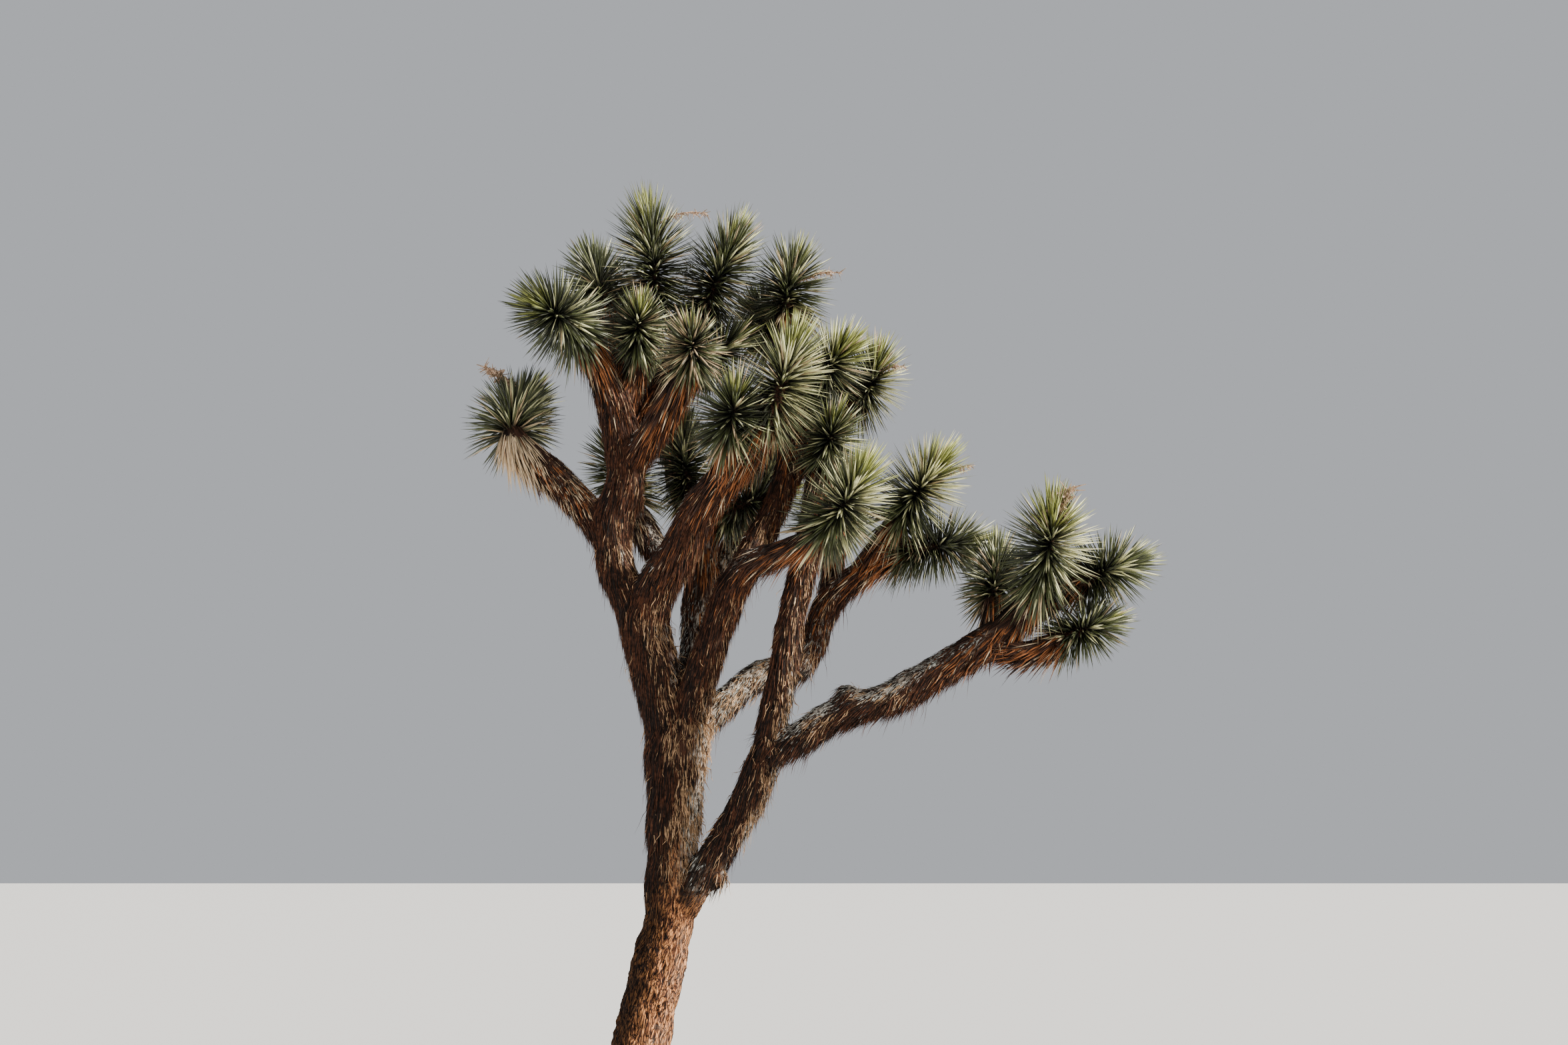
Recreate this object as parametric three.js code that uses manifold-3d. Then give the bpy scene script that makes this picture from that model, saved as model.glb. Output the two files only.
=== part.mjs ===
// A Joshua tree, a tree yucca with a leaning trunk, thick forking boughs and heads of dagger leaves.
// Millimetres, +Z up, origin at the centre of the flat cut under the trunk, at ground level.
// +X runs to the right in the front view and -Y faces the viewer.
import * as THREE from "three";
import { mergeVertices } from "three/addons/utils/BufferGeometryUtils.js";
import Module from "manifold-3d";

const wasm = await Module();
wasm.setup();

// Driving dimensions
const CLEARANCE = 0.35; // gap between solids that touch
const TRUNK_RADIUS = 162; // where the trunk is plain, above the flare
const TRUNK_HEIGHT = 2290; // from the ground to the top of its fork
// The trunk's axis leans to the right low down and then stands up straight.
const TRUNK_VIA = [[-20, 0, 0], [18, 5, 420], [58, 10, 690], [116, 15, 930], [168, 18, 1160], [184, 22, 1500],
  [196, 26, 1950], [222, 30, TRUNK_HEIGHT]];
const ROOT_FLARE = 0.42; // how much wider the foot is at the ground
const FLARE_HEIGHT = 330; // over which the flare dies out
const FLARE_LOBES = 4; // swellings round the foot
const LOBE_DEPTH = 0.1;
const FORK_SWELL = 0.16; // how much wider the trunk is below its fork
const FORK_SPAN = [0.78, 0.98]; // shares of its length over which that swelling grows
const WAIST = 0.08; // how much narrower it is at its waist
const WAIST_PLACE = 0.6; // share of its length where the waist is
const WAIST_SPAN = 0.2;
const TOP_ROUNDING = 0.62; // radius of its last ring as a share of the one below
const TRUNK_SIDES = 16;
const LIMB_SIDES = 8;
const LIMB_STEP = 240; // length of limb between two rings
const CORE_SIDES = 7;
const LEAVES_PER_HEAD = 20;
const LEAF_WIDTH = 84; // one leaf here stands for several of the plant's own
const LEAF_THICKNESS = 30;
const CORE_SHARE = 0.5; // thickest part of a head's dense core, as a share of the leaves' reach
const CORE_BULGE = [[0.32, 1], [0.72, 0.84]]; // share of the leafy stem, share of the core's radius
const NECK_TAPER = 0.96;
const APEX_RADIUS = 30;
const SIDE_NECK_RADIUS = 62; // stem of a head that leaves the side of a bough
const LOWEST_LEAF_DEG = 122; // angle between the oldest leaves and the head's axis
const TOPMOST_LEAF_DEG = 9; // the same for the spear leaves at the tip
const LEAN_CURVE = 1.8; // above 1, most leaves stand out square and only the last ones close up
const LEAN_SPREAD_DEG = 8;
const LEAF_LENGTHS = [0.93, 1.05]; // shares of a head's reach
const GOLDEN_ANGLE = Math.PI * (3 - Math.sqrt(5));
const LEAF_TRIES = [1, 0.86, 0.72, 0.58]; // shares of its reach that a leaf may shrink to
const LEAF_MARGIN = 1.5; // kept free round a leaf
const STALK_GIRTH = [13, 6]; // radius of a dried flower stalk where it starts and ends
const STALK_RISE = 0.35; // how far it follows the head before it bends away, as a share of its length
const STALK_HUSKS = 4; // spent flower husks along it
const HUSK_SPAN = [0.45, 0.97]; // shares of the stalk between which they stand
const HUSK_RADIUS = 10;
const HUSK_LENGTH = 55;

const COLOURS = {
  trunk: { color: 0x6a4530, roughness: 0.95, metalness: 0 },
  bough: { color: 0x7a5540, roughness: 0.95, metalness: 0 },
  head: { color: 0x5f6f45, roughness: 0.6, metalness: 0 },
};

// Each bough leaves its parent at a share "at" of the parent's length and runs through its own places.
// Its girth is the radius where it starts and where it ends.
const BOUGHS = [
  { name: "left_bough", on: "trunk", at: 0.93, girth: [148, 140],
    via: [[98, 0, 2540], [42, -40, 2760], [-25, -80, 3040]] },
  { name: "left_riser", on: "left_bough", at: 0.94, girth: [106, 112],
    via: [[-140, -80, 3180], [-200, -80, 3410], [-180, -80, 3650]] },
  { name: "left_arm", on: "left_riser", at: 0.72, girth: [98, 88],
    via: [[-370, -20, 3640], [-570, 80, 3850], [-830, 180, 4090]] },
  { name: "left_top", on: "left_riser", at: 0.93, girth: [112, 104],
    via: [[-120, -100, 3820], [-150, -100, 4080], [-210, -120, 4300]] },
  { name: "left_front_limb", on: "left_top", at: 0.4, girth: [84, 88],
    via: [[30, -220, 4040], [160, -360, 4210], [270, -480, 4370]] },
  { name: "upper_left_limb", on: "left_top", at: 0.93, girth: [88, 84],
    via: [[-270, -170, 4450], [-340, -230, 4590]] },
  { name: "top_limb", on: "left_top", at: 0.88, girth: [86, 82],
    via: [[-100, -40, 4500], [-20, 0, 4780], [0, 0, 4880]] },
  { name: "left_crown_limb", on: "top_limb", at: 0.34, girth: [70, 70],
    via: [[-230, 110, 4790], [-310, 180, 5040]] },
  { name: "inner_top_limb", on: "left_top", at: 0.2, girth: [80, 82],
    via: [[-20, 90, 4270], [130, 110, 4550], [265, 80, 4830]] },
  { name: "centre_bough", on: "left_bough", at: 0.9, girth: [128, 96],
    via: [[90, -150, 3130], [200, -240, 3300], [390, -420, 3610], [520, -520, 3730]] },
  { name: "back_left_limb", on: "centre_bough", at: 0.4, girth: [78, 80],
    via: [[60, 0, 3400], [-80, 220, 3640]] },
  { name: "back_bough", on: "trunk", at: 0.95, girth: [112, 92],
    via: [[290, 190, 2640], [308, 250, 2900], [335, 320, 3450]] },
  { name: "back_riser", on: "back_bough", at: 0.93, girth: [86, 84],
    via: [[310, 420, 3590], [250, 480, 3770]] },
  { name: "rear_left_limb", on: "back_riser", at: 0.5, girth: [78, 74],
    via: [[150, 720, 4010], [50, 800, 4420]] },
  { name: "rear_middle_limb", on: "back_bough", at: 0.8, girth: [80, 74],
    via: [[540, 620, 3560], [700, 860, 3950]] },
  { name: "middle_bough", on: "trunk", at: 0.95, girth: [108, 90],
    via: [[325, -70, 2520], [398, -110, 2730], [490, -150, 2990], [550, -190, 3170]] },
  { name: "middle_arm", on: "middle_bough", at: 0.95, girth: [82, 70],
    via: [[670, -280, 3255], [810, -380, 3285], [950, -500, 3320]] },
  { name: "centre_riser", on: "middle_bough", at: 0.9, girth: [78, 76],
    via: [[710, 0, 3490], [810, 60, 3700], [880, 100, 3940], [920, 120, 4160]] },
  { name: "top_right_limb", on: "centre_riser", at: 0.94, girth: [74, 72],
    via: [[900, 150, 4480], [870, 200, 4810], [860, 220, 4960]] },
  { name: "right_crown_limb", on: "centre_riser", at: 0.9, girth: [72, 72],
    via: [[1120, 150, 4260], [1310, 200, 4390]] },
  { name: "rear_right_limb", on: "centre_riser", at: 0.78, girth: [70, 70],
    via: [[1020, 480, 4130], [1090, 740, 4400]] },
  { name: "low_right_bough", on: "trunk", at: 0.92, girth: [86, 76],
    via: [[430, 120, 2410], [560, 180, 2530], [700, 250, 2640], [950, 320, 2715]] },
  { name: "low_right_riser", on: "low_right_bough", at: 0.96, girth: [84, 78],
    via: [[1030, 340, 2850], [1080, 340, 3010], [1180, 320, 3180], [1350, 280, 3300]] },
  { name: "right_bough", on: "trunk", at: 0.5, girth: [104, 90],
    via: [[365, -60, 1435], [452, -90, 1560], [535, -120, 1690], [645, -180, 1885], [775, -260, 2200]] },
  { name: "right_riser", on: "right_bough", at: 0.92, girth: [84, 76],
    via: [[810, -280, 2440], [850, -280, 2640], [880, -260, 2870], [970, -180, 3270], [1090, 0, 3900]] },
  { name: "long_arm", on: "right_bough", at: 0.93, girth: [85, 90],
    via: [[930, -300, 2220], [1170, -340, 2360], [1450, -360, 2440], [1800, -340, 2630], [2120, -280, 2830]] },
  { name: "lower_arm", on: "long_arm", at: 0.93, girth: [70, 62],
    via: [[2240, -300, 2710], [2370, -280, 2740], [2480, -260, 2795]] },
  { name: "outer_arm", on: "long_arm", at: 0.97, girth: [70, 68],
    via: [[2430, -220, 3040], [2620, -180, 3150]] },
];

// Each head of leaves sits on a bough, at its tip unless "at" gives a share of the bough's length.
// Its stem ends at "tip", "leafy" is the length of stem that bears leaves and "reach" how far a leaf stands out.
// A "stalk" is a dried flower stalk, by the share of the stem that it leaves from, the way it points
// and its length as a share of the reach.
const HEADS = [
  { name: "head_left", on: "left_arm", tip: [-855, 370, 4435], leafy: 310, reach: 335,
    stalk: { from: 0.85, way: [-0.62, -0.2, 0.75], length: 1.05 } },
  { name: "head_upper_left", on: "upper_left_limb", tip: [-575, -540, 4745], leafy: 310, reach: 330 },
  { name: "head_left_crown", on: "left_crown_limb", tip: [-400, 230, 5300], leafy: 420, reach: 310 },
  { name: "head_top", on: "top_limb", tip: [-5, -130, 5430], leafy: 600, reach: 355,
    stalk: { from: 0.93, way: [0.95, -0.1, 0.35], length: 1.08 } },
  { name: "head_under_top", on: "top_limb", at: 0.5, tip: [-40, -330, 4790], leafy: 240, reach: 250 },
  { name: "head_inner_top", on: "inner_top_limb", tip: [520, -10, 5385], leafy: 540, reach: 315 },
  { name: "head_inner_low", on: "inner_top_limb", at: 0.55, tip: [510, 140, 4760], leafy: 250, reach: 285 },
  { name: "head_top_right", on: "top_right_limb", tip: [905, 230, 5290], leafy: 290, reach: 335,
    stalk: { from: 0.55, way: [0.95, -0.2, 0.3], length: 1.08 } },
  { name: "head_behind_right", on: "top_right_limb", at: 0.62, tip: [690, 480, 5080], leafy: 280, reach: 300 },
  { name: "head_centre", on: "centre_bough", tip: [890, -760, 4400], leafy: 420, reach: 315 },
  { name: "head_centre_low", on: "centre_bough", at: 0.93, tip: [570, -860, 4080], leafy: 220, reach: 290 },
  { name: "head_right_of_centre", on: "centre_riser", tip: [1190, -150, 4590], leafy: 310, reach: 315 },
  { name: "head_right_crown", on: "right_crown_limb", tip: [1430, 130, 4600], leafy: 260, reach: 300,
    stalk: { from: 0.6, way: [0.75, -0.6, 0.2], length: 0.9 } },
  { name: "head_middle_right", on: "right_riser", tip: [1140, -130, 4120], leafy: 210, reach: 290 },
  { name: "head_front", on: "middle_arm", tip: [1265, -770, 3630], leafy: 360, reach: 310 },
  { name: "head_right", on: "low_right_riser", at: 0.93, tip: [1765, -40, 3870], leafy: 350, reach: 330,
    stalk: { from: 0.85, way: [0.9, -0.2, 0.35], length: 1.02 } },
  { name: "head_low_right", on: "low_right_riser", tip: [2030, 330, 3470], leafy: 460, reach: 295 },
  { name: "head_long_arm", on: "long_arm", tip: [2405, -560, 3440], leafy: 430, reach: 330,
    stalk: { from: 0.95, way: [0.4, -0.5, 0.9], length: 0.8 } },
  { name: "head_arm_back", on: "long_arm", at: 0.96, tip: [2160, 30, 3335], leafy: 310, reach: 265 },
  { name: "head_outer", on: "outer_arm", tip: [2910, -140, 3270], leafy: 280, reach: 285 },
  { name: "head_lower_arm", on: "lower_arm", tip: [2740, -200, 2900], leafy: 250, reach: 255 },
  { name: "head_left_front", on: "left_front_limb", tip: [300, -650, 4530], leafy: 170, reach: 255 },
  { name: "head_back_left", on: "back_left_limb", tip: [-250, 400, 4120], leafy: 380, reach: 285 },
  { name: "head_back_centre", on: "back_riser", tip: [190, 480, 4250], leafy: 440, reach: 280 },
  { name: "head_back_low", on: "back_bough", tip: [770, 290, 3800], leafy: 350, reach: 310 },
  { name: "head_rear_left", on: "rear_left_limb", tip: [-30, 900, 4740], leafy: 290, reach: 290 },
  { name: "head_rear_middle", on: "rear_middle_limb", tip: [790, 980, 4270], leafy: 290, reach: 290 },
  { name: "head_rear_right", on: "rear_right_limb", tip: [1180, 880, 4720], leafy: 290, reach: 290 },
  { name: "head_rear_low", on: "low_right_riser", at: 0.6, tip: [1240, 720, 3930], leafy: 290, reach: 280 },
];

const vector = ([x, y, z]) => new THREE.Vector3(x, y, z);
const mix = THREE.MathUtils.lerp;

// A small seeded random source, so that every build is the same.
function seeded(seed) {
  let state = seed;
  return () => {
    state = (state * 1664525 + 1013904223) >>> 0;
    return state / 4294967296;
  };
}

// A closed geometry becomes a solid once its shared vertices are merged.
function solidOf(geometry) {
  const bare = geometry.clone();
  bare.deleteAttribute("normal");
  bare.deleteAttribute("uv");
  const merged = mergeVertices(bare, 1e-4);
  return new wasm.Manifold(
    new wasm.Mesh({
      numProp: 3,
      vertProperties: new Float32Array(merged.attributes.position.array),
      triVerts: new Uint32Array(merged.index.array),
    }),
  );
}

function geometryOf(solid) {
  const mesh = solid.getMesh();
  const geometry = new THREE.BufferGeometry();
  geometry.setAttribute("position", new THREE.BufferAttribute(mesh.vertProperties, 3));
  geometry.setIndex(new THREE.BufferAttribute(mesh.triVerts, 1));
  geometry.computeVertexNormals();
  return geometry;
}

// A closed skin over rings of equal count, with a middle point in each end.
function loft(rings) {
  const sides = rings[0].length;
  const points = rings.flat();
  const faces = [];
  const middleOf = (ring) => ring.reduce((sum, p) => sum.add(p), new THREE.Vector3()).divideScalar(sides);
  const first = points.push(middleOf(rings[0])) - 1;
  const last = points.push(middleOf(rings[rings.length - 1])) - 1;
  for (let side = 0; side < sides; side++) {
    const next = (side + 1) % sides;
    faces.push(first, next, side);
    for (let ring = 0; ring < rings.length - 1; ring++) {
      const low = ring * sides;
      const high = low + sides;
      faces.push(low + side, low + next, high + next, low + side, high + next, high + side);
    }
    const end = (rings.length - 1) * sides;
    faces.push(end + side, end + next, last);
  }
  const geometry = new THREE.BufferGeometry().setFromPoints(points);
  geometry.setIndex(faces);
  return geometry;
}

// A round limb along a path, from rows of [share of its length, radius], grown by a margin all over.
function limbSolid(path, profile, sides, grow = 0) {
  const across = new THREE.Vector3(path.getTangentAt(0.5).y, path.getTangentAt(0.5).z, path.getTangentAt(0.5).x);
  const rings = profile.map(([share, radius], i) => {
    const along = path.getTangentAt(share);
    const u = across.clone().cross(along).normalize();
    const v = along.clone().cross(u);
    const endShift = i === 0 ? -grow : i === profile.length - 1 ? grow : 0;
    const centre = path.getPointAt(share).addScaledVector(along, endShift);
    return Array.from({ length: sides }, (_, side) => {
      const turn = (2 * Math.PI * side) / sides;
      return centre
        .clone()
        .addScaledVector(u, (radius + grow) * Math.cos(turn))
        .addScaledVector(v, (radius + grow) * Math.sin(turn));
    });
  });
  return solidOf(loft(rings));
}

function taper(length, [from, to]) {
  const steps = Math.max(3, Math.round(length / LIMB_STEP));
  return Array.from({ length: steps + 1 }, (_, i) => [i / steps, mix(from, to, i / steps)]);
}

// The biggest body of a solid, because a cut can leave a loose scrap.
function largestOf(solid) {
  const bodies = solid.decompose();
  return bodies.reduce((best, body) => (body.volume() > best.volume() ? body : best), bodies[0]);
}

const boxesMeet = (a, b) => [0, 1, 2].every((k) => a.min[k] <= b.max[k] && b.min[k] <= a.max[k]);

function cutClear(solid, obstacles) {
  const box = solid.boundingBox();
  const near = obstacles.filter((o) => boxesMeet(box, o.boundingBox()));
  return near.length ? largestOf(solid.subtract(wasm.Manifold.union(near))) : solid;
}

function trunkRadius(share) {
  const height = share * TRUNK_HEIGHT;
  const flare = ROOT_FLARE * Math.exp((-3 * height) / FLARE_HEIGHT);
  const forkSwell = FORK_SWELL * THREE.MathUtils.smoothstep(share, ...FORK_SPAN);
  const waist = WAIST * Math.exp(-(((share - WAIST_PLACE) / WAIST_SPAN) ** 2));
  return TRUNK_RADIUS * (1 + flare + forkSwell - waist);
}

// Level rings keep the cut under the trunk flat, and a last narrow ring rounds off the fork.
function trunkSolid(path, grow = 0) {
  const shares = [0, 0.03, 0.08, 0.15, 0.28, 0.44, 0.6, 0.76, 0.88, 0.95, 1];
  const rings = shares.map((share, i) => {
    const centre = path.getPointAt(share);
    const endShift = i === 0 ? -grow : i === shares.length - 1 ? grow : 0;
    const rounding = share === 1 ? TOP_ROUNDING : 1;
    const lobes = Math.exp((-3 * share * TRUNK_HEIGHT) / FLARE_HEIGHT);
    return Array.from({ length: TRUNK_SIDES }, (_, side) => {
      const turn = (2 * Math.PI * side) / TRUNK_SIDES;
      const lobe = 1 + LOBE_DEPTH * lobes * Math.cos(FLARE_LOBES * turn);
      const radius = trunkRadius(share) * rounding * lobe + grow;
      return new THREE.Vector3(
        centre.x + radius * Math.cos(turn),
        centre.y + radius * Math.sin(turn),
        centre.z + endShift,
      );
    });
  });
  return solidOf(loft(rings));
}

// Limbs, each kept with its path, its solid and a copy grown by the clearance that cuts its neighbours.
const limbs = new Map();

function growTrunk() {
  const path = new THREE.CatmullRomCurve3(TRUNK_VIA.map(vector), false, "centripetal");
  limbs.set("trunk", { path, solid: trunkSolid(path), cutter: trunkSolid(path, CLEARANCE) });
}

function growBough({ name, on, at, via, girth }) {
  const start = limbs.get(on).path.getPointAt(at);
  const path = new THREE.CatmullRomCurve3([start, ...via.map(vector)], false, "centripetal");
  const build = (grow) => limbSolid(path, taper(path.getLength(), girth), LIMB_SIDES, grow);
  const cutters = [...limbs.values()].map((limb) => limb.cutter);
  limbs.set(name, { path, endRadius: girth[1], solid: cutClear(build(0), cutters), cutter: build(CLEARANCE) });
}

// The stem of a head leaves its bough in line with it and bends to the head's own tip.
function stemPath({ on, at, tip }) {
  const bough = limbs.get(on);
  const share = at ?? 1;
  const start = bough.path.getPointAt(share);
  const end = vector(tip);
  const along = bough.path.getTangentAt(share);
  const knee = at === undefined
    ? start.clone().addScaledVector(along, 0.45 * start.distanceTo(end))
    : start.clone().lerp(end, 0.5);
  if (at === undefined) start.addScaledVector(along, CLEARANCE);
  return new THREE.QuadraticBezierCurve3(start, knee, end);
}

// A collar of dead leaves as thick as the bough, then the dense core that the live leaves stand out of.
function stemSolid({ path, neckRadius, leafyFrom, reach }, grow = 0) {
  const coreRadius = CORE_SHARE * reach;
  const profile = [
    [0, neckRadius],
    [leafyFrom, neckRadius * NECK_TAPER],
    ...CORE_BULGE.map(([up, bulge]) => [mix(leafyFrom, 1, up), coreRadius * bulge]),
    [1, APEX_RADIUS],
  ];
  return limbSolid(path, profile, CORE_SIDES, grow);
}

// One dagger leaf: a long three-sided spike, flattened, with its root at the axis of the stem.
function leafSolid(root, way, length, margin = 0) {
  const spike = new THREE.ConeGeometry(0.5 * LEAF_WIDTH + margin, length, 3);
  spike.scale(1, 1, LEAF_THICKNESS / LEAF_WIDTH);
  spike.translate(0, length / 2, 0);
  const turn = new THREE.Quaternion().setFromUnitVectors(new THREE.Vector3(0, 1, 0), way);
  spike.applyQuaternion(turn);
  spike.translate(root.x, root.y, root.z);
  return solidOf(spike);
}

const touches = (a, b) => boxesMeet(a.boundingBox(), b.boundingBox()) && a.intersect(b).volume() > 0;

// Leaves climb the stem in a golden-angle spiral, the oldest bent back and the youngest upright.
function leavesOf(head, blocked) {
  const { path, leafyFrom, reach, random } = head;
  const leaves = [];
  const spiral = 2 * Math.PI * random();
  for (let i = 0; i < LEAVES_PER_HEAD; i++) {
    const up = (i + 0.5) / LEAVES_PER_HEAD;
    const place = mix(leafyFrom, 1, 0.05 + 0.93 * up);
    const root = path.getPointAt(place);
    const axis = path.getTangentAt(place);
    const side = new THREE.Vector3(axis.y, axis.z, axis.x).cross(axis).normalize();
    side.applyAxisAngle(axis, spiral + i * GOLDEN_ANGLE);
    const spread = LEAN_SPREAD_DEG * (random() - 0.5);
    const lean = THREE.MathUtils.degToRad(mix(LOWEST_LEAF_DEG, TOPMOST_LEAF_DEG, up ** LEAN_CURVE) + spread);
    const way = axis.clone().multiplyScalar(Math.cos(lean)).addScaledVector(side, Math.sin(lean));
    const full = reach * mix(...LEAF_LENGTHS, random());
    for (const share of LEAF_TRIES) {
      const guard = leafSolid(root, way, full * share + LEAF_MARGIN, LEAF_MARGIN);
      if (blocked.some((other) => touches(guard, other))) continue;
      leaves.push(leafSolid(root, way, full * share));
      break;
    }
  }
  return leaves;
}

// A dried flower stalk: a thin bent rod beside the tip with spent husks standing off it.
function stalkSolids(head) {
  const way = vector(head.stalk.way).normalize();
  const start = head.path.getPointAt(head.stalk.from);
  const length = head.reach * head.stalk.length;
  const bend = start.clone().addScaledVector(head.path.getTangentAt(1), length * STALK_RISE);
  bend.addScaledVector(way, length * STALK_RISE);
  const end = start.clone().addScaledVector(way, length);
  const path = new THREE.QuadraticBezierCurve3(start, bend, end);
  const rod = limbSolid(path, taper(length, STALK_GIRTH), 4);
  const husks = Array.from({ length: STALK_HUSKS }, (_, i) => {
    const share = mix(...HUSK_SPAN, i / (STALK_HUSKS - 1));
    const tangent = path.getTangentAt(share);
    const side = new THREE.Vector3(0, 0, 1).cross(tangent).normalize();
    side.applyAxisAngle(tangent, i * GOLDEN_ANGLE);
    side.addScaledVector(tangent, 0.5).normalize();
    return huskSolid(path.getPointAt(share), side);
  });
  return [rod, ...husks];
}

function huskSolid(root, way) {
  const husk = new THREE.ConeGeometry(HUSK_RADIUS, HUSK_LENGTH, 3);
  husk.translate(0, HUSK_LENGTH / 2, 0);
  husk.applyQuaternion(new THREE.Quaternion().setFromUnitVectors(new THREE.Vector3(0, 1, 0), way));
  husk.translate(root.x, root.y, root.z);
  return solidOf(husk);
}

growTrunk();
BOUGHS.forEach(growBough);

// Stems first, so that the leaves of every head keep clear of them.
const heads = [];
HEADS.forEach((row, index) => {
  const path = stemPath(row);
  const head = {
    ...row,
    path,
    leafyFrom: Math.max(0.02, 1 - row.leafy / path.getLength()),
    neckRadius: row.at === undefined ? limbs.get(row.on).endRadius : SIDE_NECK_RADIUS,
    random: seeded(1000 + 77 * index),
  };
  const cutters = [...[...limbs.values()].map((limb) => limb.cutter), ...heads.map((other) => other.cutter)];
  head.stem = cutClear(stemSolid(head), cutters);
  head.cutter = stemSolid(head, CLEARANCE);
  heads.push(head);
});

const finished = [];
for (const head of heads) {
  const others = heads.filter((other) => other !== head);
  const blocked = [
    ...[...limbs.values()].map((limb) => limb.cutter),
    ...others.map((other) => other.cutter),
    ...finished.map((other) => other.solid),
  ];
  const parts = [head.stem, ...leavesOf(head, blocked)];
  if (head.stalk) {
    parts.push(...stalkSolids(head).filter((piece) => !blocked.some((other) => touches(piece, other))));
  }
  finished.push({ name: head.name, solid: largestOf(wasm.Manifold.union(parts)) });
}

const tree = new THREE.Group();
function addPiece(name, solid, look) {
  const mesh = new THREE.Mesh(geometryOf(solid), new THREE.MeshStandardMaterial(look));
  mesh.name = name;
  tree.add(mesh);
}
for (const [name, limb] of limbs) addPiece(name, limb.solid, name === "trunk" ? COLOURS.trunk : COLOURS.bough);
for (const { name, solid } of finished) addPiece(name, solid, COLOURS.head);

export default tree;
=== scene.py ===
"""Dresses a Joshua tree: bark, shaggy coats of dead leaves, heads of live leaves and dried flower stalks."""

import math

import bpy
import numpy as np
from bpy.props import FloatProperty, FloatVectorProperty, IntProperty, PointerProperty
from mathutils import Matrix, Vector


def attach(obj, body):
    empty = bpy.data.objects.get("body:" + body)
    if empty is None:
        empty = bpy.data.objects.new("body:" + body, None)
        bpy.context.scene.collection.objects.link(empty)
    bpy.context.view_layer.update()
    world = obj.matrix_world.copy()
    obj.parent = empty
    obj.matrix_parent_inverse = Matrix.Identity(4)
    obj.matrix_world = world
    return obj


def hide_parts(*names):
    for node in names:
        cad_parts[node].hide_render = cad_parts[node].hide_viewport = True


bl_info = {
    "name": "Joshua Tree",
    "version": (1, 0, 0),
    "blender": (4, 5, 0),
    "location": "View3D > Sidebar > Joshua Tree",
    "description": "Grows bark, dead leaf coats, live leaves and flower stalks on the limbs of a Joshua tree",
    "category": "Add Mesh",
}

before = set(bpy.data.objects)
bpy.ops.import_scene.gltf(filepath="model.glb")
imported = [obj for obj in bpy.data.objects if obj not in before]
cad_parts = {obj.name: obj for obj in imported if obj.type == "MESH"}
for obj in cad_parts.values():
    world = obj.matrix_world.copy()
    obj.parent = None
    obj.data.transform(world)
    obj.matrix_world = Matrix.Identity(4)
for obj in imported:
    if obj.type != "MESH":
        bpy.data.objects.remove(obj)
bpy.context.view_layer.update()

MM = 0.001
DOWN = np.array([0.0, 0.0, -1.0])
GOLDEN_ANGLE = math.pi * (3 - math.sqrt(5))

# The camera, the sun and the soft light all round.
EYE = (0.849, -9.2, 1.6)
EYE_TILT = math.radians(102)
LENS = 35
FULL_FRAME = 36
SUN_RAYS = (-0.90, 0.20, -0.72)
SUN_STRENGTH = 8.5
SUN_WIDTH = math.radians(6)
SUN_COLOUR = (1.0, 0.95, 0.87)
SKY_STRENGTH = 0.55

# The sides that painted colour follows: painted sunlight and shade toward the sun side, pale edges, partly bleaching
# and partly a painted highlight, toward the bleached side, and painted warm bounced light toward the warm side.
SUN_SIDE = np.array([0.75, -0.50, 0.35])
BLEACHED_HIGHLIGHT_SIDE = np.array([1.0, -0.25, 0.1])
PAINTED_BOUNCE_SIDE = np.array([0.7, -0.55, -0.25])

# The trunk's shape, and the stems of the heads. Flare, swell and waist are shares of the trunk's radius.
TRUNK_RADIUS = 0.162
TRUNK_HEIGHT = 2.290
ROOT_FLARE = 0.42
FLARE_HEIGHT = 0.330
FLARE_LOBES = 4
FORK_SWELL = 0.16
WAIST = 0.08
SIDE_NECK_RADIUS = 0.062
STEM_TIP_RADIUS = 0.016
STEM_KNEE = 0.45

# The domed top of the trunk: height above its end, share of its radius.
TRUNK_CROWN = np.array([[0.04, 0.9], [0.09, 0.75], [0.13, 0.55], [0.16, 0.3]])

# How finely lines and tubes are stepped, and how deep the trunk's tube starts, before it is cut at the ground.
SPLINE_STEPS = 40
ARC_STEPS = 60
SAMPLE_STEP = 0.03
RING_STEP = 0.035
RING_SIDES = 22
BALL_ROWS = 7
BALL_SIDES = 12
BELOW_GROUND = 0.03

# The skin: lumps as a share of the radius, the length over which it is softened, low swellings in metres, how
# sharply limbs blend into each other and how many places are measured at a time.
LUMPINESS = 0.07
SOFTENED_LENGTH = 0.16
SWELLINGS = 0.010
LIMB_BLEND = 7
SEAM_BLEND = 9
BATCH = 10000
FAR = 99.0

# Cells of the bark's noise in metres, two ways across a limb and one along it.
PLATES = np.array([0.030, 0.030, 0.11])
SMALL_PLATES = np.array([0.018, 0.018, 0.055])
THREADS = np.array([0.018, 0.018, 0.16])
STREAKS = np.array([0.04, 0.04, 0.15])

# How far below the live leaves, in metres, strands cover the bark, it turns old, it weathers all round, it leaves the
# crown's painted shadow and its edges bleach. Each is where this starts and where it is complete.
STRANDED = (0.2, 0.6)
AGED = (0.3, 0.65)
GREYED = (0.3, 0.8)
OUT_OF_CROWN_SHADOW = (0.6, 1.4)
OLDEST = (1.2, 1.8)

# Blades: rows of share of the length and share of the width, height of the keel by the width, contrast of tones.
LEAF_OUTLINE = ((0.0, 1.15), (0.6, 0.95))
LEAF_KEEL = 0.34
LEAF_CONTRAST = 0.38
LEAF_POINT = (0.10, 0.055, 0.03)
COAT_OUTLINE = ((0.0, 1.2), (0.5, 0.9))
COAT_KEEL = 0.2
COAT_CONTRAST = 0.45
COAT_ROUGHNESS = 0.72
COAT_GLOSS = 0.3

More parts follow.
